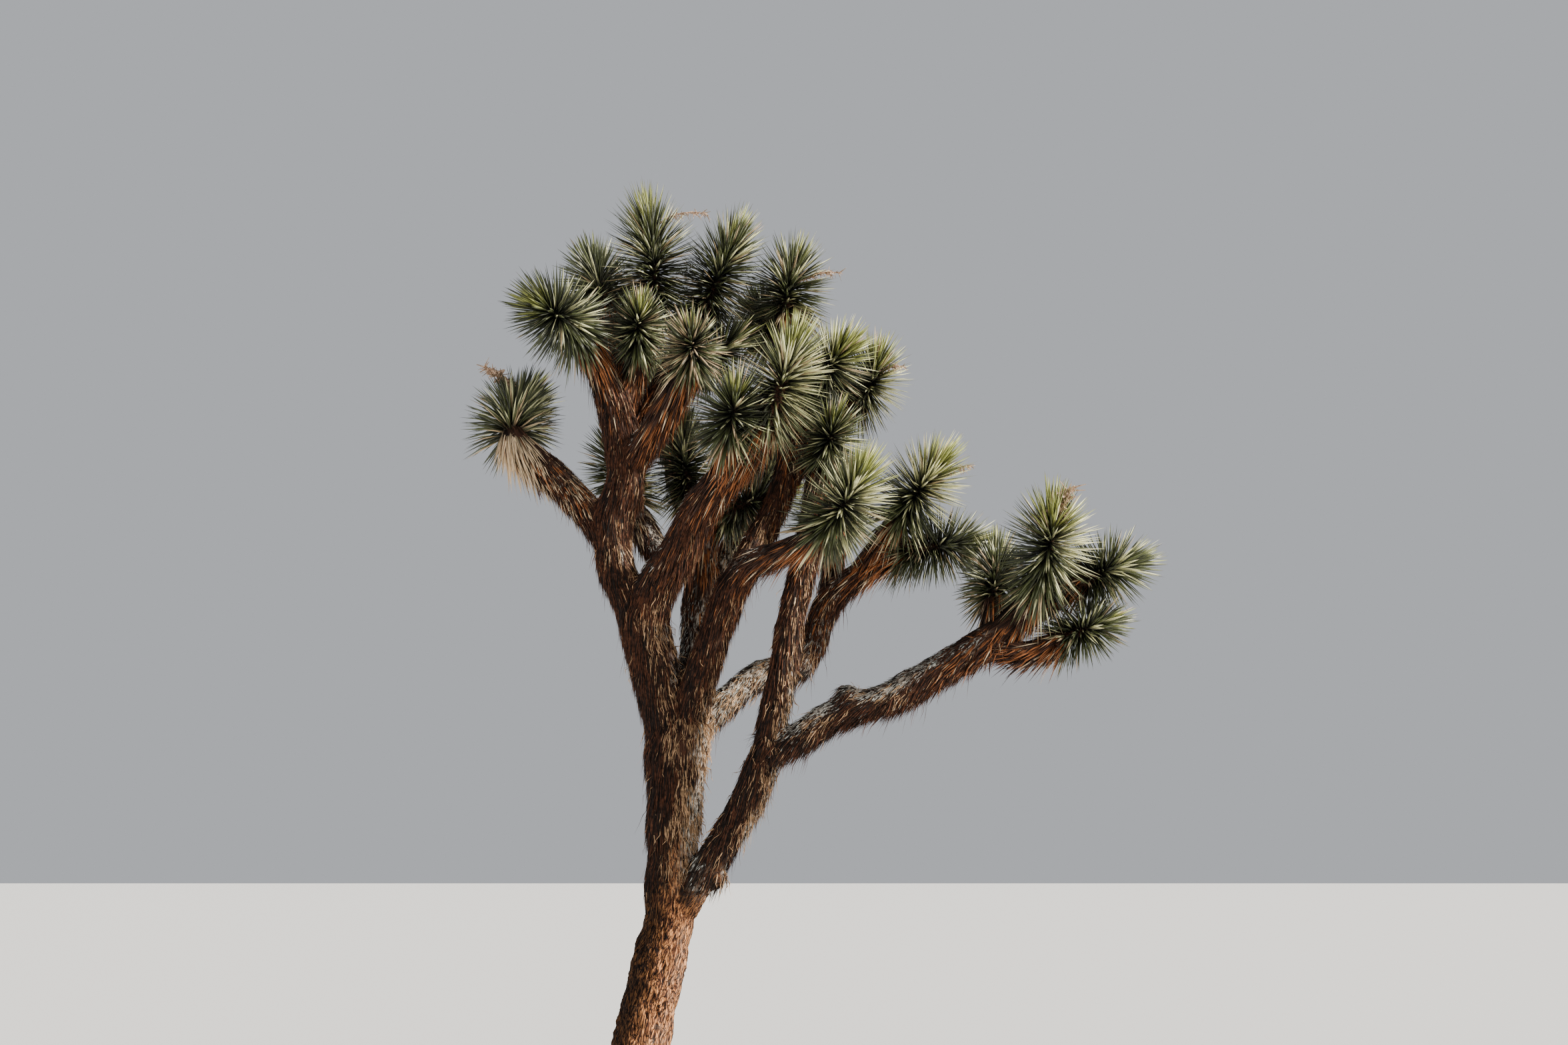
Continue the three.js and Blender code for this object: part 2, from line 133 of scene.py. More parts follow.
# Lean of the leaves off the stem: the oldest in degrees, the youngest, and how it falls between them.
LOWEST_LEAF = 122
TOPMOST_LEAF = math.radians(9)
LEAN_CURVE = 1.8

# Flower stalks: how they rise from the stem, how much bigger the thick ones are, and the woody foot of those.
STALK_RISE = 0.35
STALK_BARE = 0.35
THICK_BULK = 1.4
FOOT_SHARES = (0.3, 0.9)
FOOT_BREADTH = 4.5

# Tints of live leaves, with roughness and gloss, and of dead ones. The numbers are places in these rows.
# The tint for leaves facing the sun is painted sunlight, and the shaded tint is painted shade deep in the crown.
YOUNG, DEEP, PAINTED_SUNLIT, OLD, SHADED = range(5)
LEAF_KINDS = (
    ("young", 0.42, 0.5), ("deep", 0.40, 0.55), ("pale", 0.48, 0.5), ("old", 0.6, 0.35), ("shaded", 0.45, 0.4),
)
STRAW, RUST, BROWN = range(3)
COAT_KINDS = ("straw", "rust", "brown")

# Short strands: name, tint, bends, curl, droop, number on a square metre, length, width, how far they stand off.
STRANDS = (
    ("bleached", "bleached", 1, 0.03, 0.0, 4600, 0.030, 0.0070, 0.40),
    ("gold", "gold", 1, 0.06, 0.01, 6200, 0.058, 0.0062, 0.26),
    ("curled", "gold", 3, 0.11, 0.02, 1300, 0.075, 0.0056, 0.50),
    ("rust", "rust", 1, 0.05, 0.01, 3900, 0.085, 0.0070, 0.10),
    ("dark", "dark", 1, 0.03, 0.01, 3500, 0.075, 0.0080, 0.10),
    ("shaggy", "rust", 3, 0.05, 0.06, 420, 0.095, 0.0085, 0.45),
)

# The trunk's axis leans to the right low down and then stands up straight.
TRUNK_VIA = (
    (-20, 0, 0), (18, 5, 420), (58, 10, 690), (116, 15, 930), (168, 18, 1160), (184, 22, 1500), (196, 26, 1950),
    (222, 30, 2290),
)

# Boughs: name, what it grows on, where along it, the places it runs through in mm, its radius in mm at both ends.
BOUGHS = (
    ("left_bough", "trunk", 0.93, ((98, 0, 2540), (42, -40, 2760), (-25, -80, 3040)), (148, 140)),
    ("left_riser", "left_bough", 0.94, ((-140, -80, 3180), (-200, -80, 3410), (-180, -80, 3650)), (106, 112)),
    ("left_arm", "left_riser", 0.72, ((-370, -20, 3640), (-570, 80, 3850), (-830, 180, 4090)), (98, 88)),
    ("left_top", "left_riser", 0.93, ((-120, -100, 3820), (-150, -100, 4080), (-210, -120, 4300)), (112, 104)),
    ("left_front_limb", "left_top", 0.4, ((30, -220, 4040), (160, -360, 4210), (270, -480, 4370)), (84, 88)),
    ("upper_left_limb", "left_top", 0.93, ((-270, -170, 4450), (-340, -230, 4590)), (88, 84)),
    ("top_limb", "left_top", 0.88, ((-100, -40, 4500), (-20, 0, 4780), (0, 0, 4880)), (86, 82)),
    ("left_crown_limb", "top_limb", 0.34, ((-230, 110, 4790), (-310, 180, 5040)), (70, 70)),
    ("inner_top_limb", "left_top", 0.2, ((-20, 90, 4270), (130, 110, 4550), (265, 80, 4830)), (80, 82)),
    ("centre_bough", "left_bough", 0.9,
     ((90, -150, 3130), (200, -240, 3300), (390, -420, 3610), (520, -520, 3730)), (128, 96)),
    ("back_left_limb", "centre_bough", 0.4, ((60, 0, 3400), (-80, 220, 3640)), (78, 80)),
    ("back_bough", "trunk", 0.95, ((290, 190, 2640), (308, 250, 2900), (335, 320, 3450)), (112, 92)),
    ("back_riser", "back_bough", 0.93, ((310, 420, 3590), (250, 480, 3770)), (86, 84)),
    ("rear_left_limb", "back_riser", 0.5, ((150, 720, 4010), (50, 800, 4420)), (78, 74)),
    ("rear_middle_limb", "back_bough", 0.8, ((540, 620, 3560), (700, 860, 3950)), (80, 74)),
    ("middle_bough", "trunk", 0.95,
     ((325, -70, 2520), (398, -110, 2730), (490, -150, 2990), (550, -190, 3170)), (108, 90)),
    ("middle_arm", "middle_bough", 0.95, ((670, -280, 3255), (810, -380, 3285), (950, -500, 3320)), (82, 70)),
    ("centre_riser", "middle_bough", 0.9,
     ((710, 0, 3490), (810, 60, 3700), (880, 100, 3940), (920, 120, 4160)), (78, 76)),
    ("top_right_limb", "centre_riser", 0.94, ((900, 150, 4480), (870, 200, 4810), (860, 220, 4960)), (74, 72)),
    ("right_crown_limb", "centre_riser", 0.9, ((1120, 150, 4260), (1310, 200, 4390)), (72, 72)),
    ("rear_right_limb", "centre_riser", 0.78, ((1020, 480, 4130), (1090, 740, 4400)), (70, 70)),
    ("low_right_bough", "trunk", 0.92,
     ((430, 120, 2410), (560, 180, 2530), (700, 250, 2640), (950, 320, 2715)), (86, 76)),
    ("low_right_riser", "low_right_bough", 0.96,
     ((1030, 340, 2850), (1080, 340, 3010), (1180, 320, 3180), (1350, 280, 3300)), (84, 78)),
    ("right_bough", "trunk", 0.5,
     ((365, -60, 1435), (452, -90, 1560), (535, -120, 1690), (645, -180, 1885), (775, -260, 2200)), (104, 90)),
    ("right_riser", "right_bough", 0.92,
     ((810, -280, 2440), (850, -280, 2640), (880, -260, 2870), (970, -180, 3270), (1090, 0, 3900)), (84, 76)),
    ("long_arm", "right_bough", 0.93,
     ((930, -300, 2220), (1170, -340, 2360), (1450, -360, 2440), (1800, -340, 2630), (2120, -280, 2830)), (85, 90)),
    ("lower_arm", "long_arm", 0.93, ((2240, -300, 2710), (2370, -280, 2740), (2480, -260, 2795)), (70, 62)),
    ("outer_arm", "long_arm", 0.97, ((2430, -220, 3040), (2620, -180, 3150)), (70, 68)),
)

# Heads: name, its bough, where along it, the tip in mm, length of leafy stem and reach of a leaf in mm, share of its
# leaves that are dry.
HEADS = (
    ("head_left", "left_arm", 1, (-855, 370, 4435), 310, 335, 0.05),
    ("head_upper_left", "upper_left_limb", 1, (-575, -540, 4745), 310, 330, 0.03),
    ("head_left_crown", "left_crown_limb", 1, (-400, 230, 5300), 420, 310, 0.04),
    ("head_top", "top_limb", 1, (-5, -130, 5430), 600, 355, 0.05),
    ("head_under_top", "top_limb", 0.5, (-40, -330, 4790), 240, 250, 0.1),
    ("head_inner_top", "inner_top_limb", 1, (520, -10, 5385), 540, 315, 0.08),
    ("head_inner_low", "inner_top_limb", 0.55, (510, 140, 4760), 250, 285, 0.12),
    ("head_top_right", "top_right_limb", 1, (905, 230, 5290), 290, 335, 0.04),
    ("head_behind_right", "top_right_limb", 0.62, (690, 480, 5080), 280, 300, 0.04),
    ("head_centre", "centre_bough", 1, (890, -760, 4400), 420, 315, 0.05),
    ("head_centre_low", "centre_bough", 0.93, (570, -860, 4080), 220, 290, 0.08),
    ("head_right_of_centre", "centre_riser", 1, (1190, -150, 4590), 310, 315, 0.04),
    ("head_right_crown", "right_crown_limb", 1, (1430, 130, 4600), 260, 300, 0.06),
    ("head_middle_right", "right_riser", 1, (1140, -130, 4120), 210, 290, 0.06),
    ("head_front", "middle_arm", 1, (1265, -770, 3630), 360, 310, 0.03),
    ("head_right", "low_right_riser", 0.93, (1765, -40, 3870), 350, 330, 0.04),
    ("head_low_right", "low_right_riser", 1, (2030, 330, 3470), 460, 295, 0.06),
    ("head_long_arm", "long_arm", 1, (2405, -560, 3440), 430, 330, 0.05),
    ("head_arm_back", "long_arm", 0.96, (2160, 30, 3335), 310, 265, 0.06),
    ("head_outer", "outer_arm", 1, (2910, -140, 3270), 280, 285, 0.03),
    ("head_lower_arm", "lower_arm", 1, (2740, -200, 2900), 250, 255, 0.05),
    ("head_left_front", "left_front_limb", 1, (300, -650, 4530), 170, 255, 0.36),
    ("head_back_left", "back_left_limb", 1, (-250, 400, 4120), 380, 285, 0.05),
    ("head_back_centre", "back_riser", 1, (190, 480, 4250), 440, 280, 0.06),
    ("head_back_low", "back_bough", 1, (770, 290, 3800), 350, 310, 0.05),
    ("head_rear_left", "rear_left_limb", 1, (-30, 900, 4740), 290, 290, 0.05),
    ("head_rear_middle", "rear_middle_limb", 1, (790, 980, 4270), 290, 290, 0.05),
    ("head_rear_right", "rear_right_limb", 1, (1180, 880, 4720), 290, 290, 0.05),
    ("head_rear_low", "low_right_riser", 0.6, (1240, 720, 3930), 290, 280, 0.05),
)

# Dried flower stalks by head: share of the stem where it starts, its way, its length by the reach of a leaf.
STALKS = {
    "head_left": (0.85, (-0.62, -0.2, 0.75), 1.05),
    "head_top": (0.93, (0.95, -0.1, 0.35), 1.08),
    "head_top_right": (0.55, (0.95, -0.2, 0.3), 1.08),
    "head_right_crown": (0.6, (0.75, -0.6, 0.2), 0.9),
    "head_right": (0.85, (0.9, -0.2, 0.35), 1.02),
    "head_long_arm": (0.95, (0.4, -0.5, 0.9), 0.8),
}

# Limbs whose skin is fine enough for the grain of old bark.
FINE_LIMBS = ("trunk", "right_bough")

# How far a limb has weathered to grey all round, from 0 to 1. Below 0 its upper side has kept its colour.
WEATHERED = {
    "low_right_bough": 0.85, "low_right_riser": 0.3, "back_bough": 0.75, "back_riser": 0.3, "long_arm": 0.1,
    "left_arm": -0.9,
}

# How much of the crown's painted shadow falls on a limb's colour and strands, from 0 to 1. Below 0 its painted
# sunlight is stronger.
CROWN_SHADOW = {
    "left_bough": 0.6, "left_riser": 0.65, "left_top": 0.7, "left_front_limb": 0.6, "inner_top_limb": 0.6,
    "centre_bough": 0.35, "middle_bough": 0.4, "centre_riser": 0.4, "left_arm": -0.6, "right_bough": 0.25,
    "right_riser": 0.45,
}

# Old leaf scars that stick out as knobs: bough, share of its length, way it stands out, radius.
KNOBS = (
    ("long_arm", 0.36, (-0.1, -0.2, 1), 0.075),
    ("low_right_bough", 0.97, (0.6, -0.3, -0.4), 0.07),
    ("right_bough", 0.33, (0.7, -0.3, -0.6), 0.08),
    ("trunk", 0.665, (1, -0.35, 0), 0.055),
    ("left_bough", 0.55, (0.6, -0.8, 0.1), 0.05),
)

# Lean of the oldest leaves in degrees, on the heads where it isn't the usual one.
LOWEST_LEAVES = {"head_left": 94, "head_top": 128, "head_lower_arm": 138, "head_low_right": 132, "head_long_arm": 140}

# Heads whose leaves get painted sunlight in full and no extra painted shade, heads with a thick stalk, limbs with a
# full skirt of long dead leaves, limbs whose dead leaves are the colour of straw, and places of pale knots in the
# bark.
PAINTED_SUNLIT_HEADS = (
    "head_centre", "head_right_of_centre", "head_right_crown", "head_front", "head_right", "head_long_arm",
    "head_rear_right", "head_rear_middle",
)
THICK_STALKS = ("head_long_arm", "head_left")
FULL_SKIRTS = ("head_left", "left_arm")
STRAW_SKIRTS = (*FULL_SKIRTS, "back_left_limb", "head_back_left")
PALE_KNOTS = ((0.338, -0.12, 1.50), (0.350, -0.10, 1.38), (1.07, -0.10, 2.86))


# ---- numbers -------------------------------------------------------------


def unit(rows):
    return rows / np.maximum(np.linalg.norm(rows, axis=-1, keepdims=True), 1e-9)


def mix(low, high, share):
    return low + (high - low) * share


def smooth_step(values, low, high):
    t = np.clip((values - low) / (high - low), 0, 1)
    return t * t * (3 - 2 * t)


def facing(ways, side):
    """How far each way points to a side, from -1 to 1."""
    return ways @ unit(side)


def lattice_noise(points, seed):
    """Smooth noise from -1 to 1 at each point, on a lattice one unit wide."""
    cell = np.floor(points).astype(np.int64)
    inside = points - cell
    inside = inside * inside * (3 - 2 * inside)
    total = np.zeros(len(points))
    for corner in range(8):
        offset = np.array([(corner >> k) & 1 for k in range(3)])
        key = cell + offset
        mixed = (key[:, 0] * 73856093) ^ (key[:, 1] * 19349663) ^ (key[:, 2] * 83492791) ^ (seed * 26544357)
        mixed = (mixed ^ (mixed >> 13)) * 1274126177
        value = ((mixed ^ (mixed >> 16)) & 0xFFFF) / 32767.5 - 1
        total += value * np.prod(np.where(offset == 1, inside, 1 - inside), axis=1)
    return total


class Path:
    """A line that is read by share of its length."""

    def __init__(self, places):
        self.places = np.asarray(places, float)
        steps = np.linalg.norm(np.diff(self.places, axis=0), axis=1)
        self.run = np.concatenate([[0.0], np.cumsum(steps)])
        self.length = self.run[-1]

    def at(self, share):
        far = np.clip(np.asarray(share, float), 0, 1) * self.length
        return np.stack([np.interp(far, self.run, self.places[:, k]) for k in range(3)], -1)

    def way(self, share):
        share = np.asarray(share, float)
        return unit(self.at(share + 0.01) - self.at(share - 0.01))


def spline_path(places):
    """A centripetal Catmull-Rom line through the places."""
    p = np.asarray(places, float)
    p = np.vstack([2 * p[0] - p[1], p, 2 * p[-1] - p[-2]])
    t = np.linspace(0, 1, SPLINE_STEPS, endpoint=False)[:, None]
    rows = []
    for i in range(1, len(p) - 2):
        d0, d1, d2 = (math.sqrt(np.linalg.norm(p[i + k] - p[i + k - 1])) for k in range(3))
        a = ((p[i] - p[i - 1]) / d0 - (p[i + 1] - p[i - 1]) / (d0 + d1) + (p[i + 1] - p[i]) / d1) * d1
        b = ((p[i + 1] - p[i]) / d1 - (p[i + 2] - p[i]) / (d1 + d2) + (p[i + 2] - p[i + 1]) / d2) * d1
        squared = (3 * (p[i + 1] - p[i]) - 2 * a - b) * t**2
        rows.append(p[i] + a * t + squared + (2 * (p[i] - p[i + 1]) + a + b) * t**3)
    rows.append(p[-2][None])
    return Path(np.vstack(rows))


def arc_path(start, knee, end):
    t = np.linspace(0, 1, ARC_STEPS)[:, None]
    return Path((1 - t) ** 2 * start + 2 * t * (1 - t) * knee + t**2 * end)


def flare_at(share):
    """How strongly the root flare shows on the trunk, from 1 at the ground."""
    return np.exp(-3 * share * TRUNK_HEIGHT / FLARE_HEIGHT)


def trunk_radius(share):
    fork_swell = FORK_SWELL * smooth_step(share, 0.78, 0.98)
    waist = WAIST * np.exp(-(((share - 0.6) / 0.2) ** 2))
    return TRUNK_RADIUS * (1 + ROOT_FLARE * flare_at(share) + fork_swell - waist)


def taper(radii):
    return lambda share: MM * mix(radii[0], radii[1], share)


def profile(shares, radii):
    return lambda share: np.interp(share, shares, radii)


# ---- the skeleton that everything grows on --------------------------------


class Limb:
    """A limb or a head's stem: its path, radius, running length from the ground and distance to live leaves."""

    def __init__(self, name, path, radius, start_run, start_side):
        self.name = name
        self.path = path
        self.radius = radius
        self.start_run = start_run
        count = max(8, int(path.length / SAMPLE_STEP))
        self.shares = np.linspace(0, 1, count)
        self.centres = path.at(self.shares)
        self.ways = path.way(self.shares)
        sides = [unit(start_side - self.ways[0] * np.dot(start_side, self.ways[0]))]
        for way in self.ways[1:]:
            sides.append(unit(sides[-1] - way * np.dot(sides[-1], way)))
        self.sides = np.array(sides)
        self.radii = radius(self.shares)
        self.runs = start_run + self.shares * path.length
        self.to_leaves = np.zeros(count)
        self.weathered = np.full(count, WEATHERED.get(name, 0.0))
        self.crown_shadow = np.full(count, CROWN_SHADOW.get(name, 0.0))
        self.on, self.at, self.depth = None, 0.0, 0

    def side_at(self, share):
        last = len(self.shares) - 1
        return self.sides[np.clip((np.asarray(share) * last).astype(int), 0, last)]

    def grow(self, at, name, path, radius):
        """A limb or stem that leaves this one at a share of its length."""
        child = Limb(name, path, radius, self.start_run + at * self.path.length, self.side_at(at))
        child.on, child.at, child.depth = self.name, at, self.depth + 1
        return child


def grow_skeleton():
    """The limbs and the stems of the heads, by name, by the rule of the solids."""
    trunk = Limb("trunk", spline_path(np.array(TRUNK_VIA) * MM), trunk_radius, 0.0, np.array([1.0, 0.0, 0.0]))
    limbs, stems = {"trunk": trunk}, {}
    for name, on, at, via, radii in BOUGHS:
        places = [limbs[on].path.at(at)] + [np.array(p) * MM for p in via]
        limbs[name] = limbs[on].grow(at, name, spline_path(places), taper(radii))
    for name, on, at, tip, leafy, reach, dry in HEADS:
        bough = limbs[on]
        start, end = bough.path.at(at), np.array(tip) * MM
        if at == 1:
            knee = start + bough.path.way(1.0) * STEM_KNEE * np.linalg.norm(end - start)
            neck = bough.radii[-1]
        else:
            knee, neck = 0.5 * (start + end), SIDE_NECK_RADIUS
        path = arc_path(start, knee, end)
        leafy_from = max(0.02, 1 - leafy * MM / path.length)
        shares = [0, max(leafy_from - 0.05, 0.01), min(leafy_from + 0.25, 0.9), 1]
        stem = bough.grow(at, name, path, profile(shares, [neck, neck * 0.96, 0.5 * neck, STEM_TIP_RADIUS]))
        stem.leafy_from, stem.reach, stem.dry = leafy_from, reach * MM, dry
        stems[name] = stem
    measure_to_leaves(limbs, stems)
    return limbs, stems


def measure_to_leaves(limbs, stems):
    """How far each place on a limb is from the nearest live leaves further along."""
    for stem in stems.values():
        stem.to_leaves = np.maximum(stem.leafy_from - stem.shares, 0) * stem.path.length
    for name in reversed(list(limbs)):
        limb = limbs[name]
        limb.to_leaves = np.full(len(limb.shares), FAR)
        for child in [*limbs.values(), *stems.values()]:
            if child.on == name:
                ahead = (child.at - limb.shares) * limb.path.length
                distance = np.where(ahead >= -0.02, np.abs(ahead), 2 * np.abs(ahead)) + child.to_leaves[0]
                limb.to_leaves = np.minimum(limb.to_leaves, distance)


LIMBS, STEMS = grow_skeleton()
EVERYTHING = [*LIMBS.values(), *STEMS.values()]


def gather(field, limbs):
    return np.concatenate([getattr(limb, field) for limb in limbs])


# ---- meshes ---------------------------------------------------------------


def new_object(name, data):
    made = bpy.data.objects.new(name, data)
    bpy.context.scene.collection.objects.link(made)
    return made


def add_fields(mesh, fields):
    """Point attributes, each from an array of numbers or of vectors."""
    for label, values in fields.items():
        kind, slot = ("FLOAT_VECTOR", "vector") if values.ndim == 2 else ("FLOAT", "value")
        attribute = mesh.attributes.new(label, kind, "POINT")
        attribute.data.foreach_set(slot, values.astype(np.float32).ravel())


def mesh_piece(name, places, faces, fields=None, uv=None):
    """An object at the origin from arrays of places and three- or four-sided faces."""
    mesh = bpy.data.meshes.new(name)
    corners = faces.shape[1]
    mesh.vertices.add(len(places))
    mesh.vertices.foreach_set("co", np.asarray(places, np.float32).ravel())
    mesh.loops.add(faces.size)
    mesh.loops.foreach_set("vertex_index", faces.astype(np.int32).ravel())
    mesh.polygons.add(len(faces))
    mesh.polygons.foreach_set("loop_start", np.arange(0, faces.size, corners, dtype=np.int32))
    if uv is not None:
        layer = mesh.uv_layers.new(name="along_leaf")
        layer.data.foreach_set("uv", uv[faces.ravel()].astype(np.float32).ravel())
    add_fields(mesh, fields or {})
    mesh.update(calc_edges=True)
    mesh.validate()
    return new_object(name, mesh)


def finish_piece(piece, material, replaced=()):
    piece.data.materials.clear()
    piece.data.materials.append(material)
    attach(piece, "root")
    if replaced:
        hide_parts(*replaced)


def plain_mesh(source, name):
    """The evaluated mesh of an object with modifiers, as a new object in its place."""
    graph = bpy.context.evaluated_depsgraph_get()
    mesh = bpy.data.meshes.new_from_object(source.evaluated_get(graph))
    old = source.data
    bpy.data.objects.remove(source)
    if old.users == 0 and isinstance(old, bpy.types.Mesh):
        bpy.data.meshes.remove(old)
    mesh.name = name
    return new_object(name, mesh)


def join(pieces, name):
    """Several mesh objects at the origin made one."""
    for piece in bpy.context.selected_objects:
        piece.select_set(False)
    for piece in pieces:
        piece.select_set(True)
    bpy.context.view_layer.objects.active = pieces[0]
    bpy.ops.object.join()
    pieces[0].name = pieces[0].data.name = name
    return pieces[0]


def blade_arrays(root, way, face, length, width, sag, outline, keel):
    """Closed three-sided blades. The outline has rows of (share of length, share of width), and ends in a point."""
    side = unit(np.cross(way, face))
    up = np.cross(side, way)
    rows = []
    for share, wide in outline:
        middle = root + way * (share * length)[:, None] + DOWN * (sag * share**2 * length)[:, None]
        half = (0.5 * wide * width)[:, None]
        rows += [middle - side * half, middle - up * half * 2 * keel, middle + side * half]
    tip = root + way * length[:, None] + DOWN * (sag * length)[:, None]
    places = np.stack(rows + [tip], 1)
    count = places.shape[1]
    faces = [(0, 1, 2)]
    for low in range(0, 3 * len(outline) - 3, 3):
        for k in range(3):
            a, b = low + k, low + (k + 1) % 3
            faces += [(a, a + 3, b), (b, a + 3, b + 3)]
    faces += [(count - 4 + k, count - 1, count - 4 + (k + 1) % 3) for k in range(3)]
    faces = np.array(faces)
    a, b, c = (places[0][faces[:, k]] for k in range(3))
    if np.sum(np.cross(a, b) * c) < 0:
        faces = faces[:, ::-1]
    offsets = np.arange(len(places))[:, None, None] * count
    uv = np.array([(k / 2, share) for share, _ in outline for k in range(3)] + [(0.5, 1.0)])
    return places.reshape(-1, 3), (faces[None] + offsets).reshape(-1, 3), np.tile(uv, (len(places), 1)), count


def grow_blades(rows, kinds, outline, keel, replaced):
    """One piece of blades for each kind, a name and a material in the order of the tints' numbers. The solids that
    a piece replaces are given by its name."""
    *shape, tint, tone = (np.concatenate(column) for column in zip(*rows))
    for index, (name, material) in enumerate(kinds):
        pick = tint == index
        places, faces, uv, count = blade_arrays(*(column[pick] for column in shape), outline, keel)
        piece = mesh_piece(name, places, faces, {"tone": np.repeat(tone[pick], count)}, uv)
        finish_piece(piece, material, replaced.get(name, ()))


def off_axis(axis, side, turn):
    """The ways at right angles to an axis, at a turn round it from its side."""
    return unit(side * np.cos(turn)[:, None] + np.cross(axis, side) * np.sin(turn)[:, None])


def blocked(points, others):
    """Which points lie inside a limb or stem."""
    centres, radii = gather("centres", others), gather("radii", others) * 0.92
    distance = np.linalg.norm(points[:, None, :] - centres[None], axis=2)
    return (distance < radii[None] + 0.004).any(1)


# ---- nodes ------------------------------------------------------------------


class Net:
    """Adds nodes to a tree. An input takes a value, or the output of another node."""

    def __init__(self, tree):
        self.tree = tree

    def feed(self, socket, value):
        if isinstance(value, bpy.types.NodeSocket):
            self.tree.links.new(value, socket)
        else:
            socket.default_value = value

    def node(self, kind, inputs=None, **settings):
        """Add a node with its settings and inputs, and give its outputs."""
        made = self.tree.nodes.new(kind)
        for name, value in settings.items():
            setattr(made, name, value)
        for label, value in (inputs or {}).items():
            self.feed(made.inputs[label], value)
        return made.outputs

    def maths(self, operation, *values):
        return self.node("ShaderNodeMath", dict(enumerate(values)), operation=operation)[0]

    def vectors(self, operation, *values):
        return self.node("ShaderNodeVectorMath", dict(enumerate(values)), operation=operation)[0]

    def scaled(self, vector, scale):
        return self.node("ShaderNodeVectorMath", {0: vector, "Scale": scale}, operation="SCALE")[0]

    def ranged(self, value, low, high, from_low=0.0, from_high=1.0):
        """The value brought to a range and kept inside it."""
        inputs = {"Value": value, "From Min": from_low, "From Max": from_high, "To Min": low, "To Max": high}
        return self.node("ShaderNodeMapRange", inputs)[0]

    def mixed(self, share, a, b, kind="RGBA"):
        return self.node("ShaderNodeMix", {"Factor": share, "A": a, "B": b}, data_type=kind)["Result"]

    def ramp(self, value, *stops):
        made = self.tree.nodes.new("ShaderNodeValToRGB")
        while len(made.color_ramp.elements) < len(stops):
            made.color_ramp.elements.new(0.5)
        for element, (place, colour) in zip(made.color_ramp.elements, stops):
            element.position = place
            element.color = (*colour, 1)
        self.feed(made.inputs[0], value)
        return made.outputs[0]

    def attribute(self, label, output="Fac"):
        return self.node("ShaderNodeAttribute", attribute_name=label)[output]

    def object_noise(self, scale, detail):
        """Noise on the piece's own coordinates."""
        place = self.node("ShaderNodeTexCoord")["Object"]
        return self.node("ShaderNodeTexNoise", {"Scale": scale, "Detail": detail, "Vector": place})["Fac"]

    def stretched(self, vector, scale):
        return self.node("ShaderNodeMapping", {"Scale": scale, "Vector": vector})[0]

    def named(self, label, kind="FLOAT"):
        return self.node("GeometryNodeInputNamedAttribute", {"Name": label}, data_type=kind)["Attribute"]

    def random(self, kind, low, high, seed=0):
        inputs = {"Min": low, "Max": high, "Seed": seed}
        return self.node("FunctionNodeRandomValue", inputs, data_type=kind)["Value"]

    def aligned(self, axis, inputs, **settings):
        return self.node("FunctionNodeAlignRotationToVector", inputs, axis=axis, **settings)[0]

    def cone(self, vertices, segments, top):
        """A cone or frustum one unit long and one across, standing on its foot."""
        inputs = {"Vertices": vertices, "Side Segments": segments, "Radius Top": top, "Radius Bottom": 0.5, "Depth": 1}
        return self.node("GeometryNodeMeshCone", inputs, fill_type="NGON")["Mesh"]

    def combined(self, x, y, z):
        return self.node("ShaderNodeCombineXYZ", {"X": x, "Y": y, "Z": z})[0]

    def copies(self, points, instance, rotation, size):
        """A real copy of the instance on each point."""
        inputs = {"Points": points, "Instance": instance, "Rotation": rotation, "Scale": size}
        instances = self.node("GeometryNodeInstanceOnPoints", inputs)[0]
        return self.node("GeometryNodeRealizeInstances", {"Geometry": instances})[0]

    def end(self, geometry, material):
        """Set the material and end the tree."""
        finished = self.node("GeometryNodeSetMaterial", {"Geometry": geometry, "Material": material})[0]
        self.node("NodeGroupOutput", {"Geometry": finished})


# ---- materials --------------------------------------------------------------


def new_material(name, **constants):
    material = bpy.data.materials.new(name)
    material.use_nodes = True
    shader = material.node_tree.nodes["Principled BSDF"]
    for socket, value in constants.items():
        shader.inputs[socket.replace("_", " ")].default_value = value
    return material, Net(material.node_tree), shader


def surface(net, shader, colour, height, strength, depth):
    """Give the shader its colour, and a bump from the height."""
    net.feed(shader.inputs["Base Color"], colour)
    bump = net.node("ShaderNodeBump", {"Strength": strength, "Distance": depth, "Height": height})
    net.feed(shader.inputs["Normal"], bump[0])


def blade_material(name, foot, middle, tip, margin_highlight, roughness, contrast, gloss):
    """A leaf: foot, blade, margins and point differ, each leaf has its own tone, and fine ribs run along it. A margin
    colour lighter than the blade paints a highlight along the edges.
    """
    material, net, shader = new_material(name, Roughness=roughness, Specular_IOR_Level=gloss)
    uv = net.node("ShaderNodeUVMap", uv_map="along_leaf")[0]
    split = net.node("ShaderNodeSeparateXYZ", {0: uv})
    blade = net.ramp(split["Y"], (0.0, foot), (0.14, foot), (0.46, middle), (0.90, middle), (1.0, tip))
    to_margin = net.maths("ABSOLUTE", net.ranged(split["X"], -1, 1))
    # A painted highlight along the leaf's margins, where the margin colour is lighter than the blade.
    painted_highlight = net.ramp(to_margin, (0.78, (0, 0, 0)), (0.97, (0.75, 0.75, 0.75)))
    colour = net.mixed(painted_highlight, blade, (*margin_highlight, 1))
    colour = net.scaled(colour, net.ranged(net.attribute("tone"), 1 - contrast, 1 + contrast))
    colour = net.scaled(colour, net.ranged(net.object_noise(38, 3), 0.84, 1.16))
    ribs = net.node("ShaderNodeTexNoise", {"Scale": 1, "Vector": net.stretched(uv, (14, 2.5, 1))})
    surface(net, shader, colour, ribs["Fac"], 0.35, 0.002)
    return material


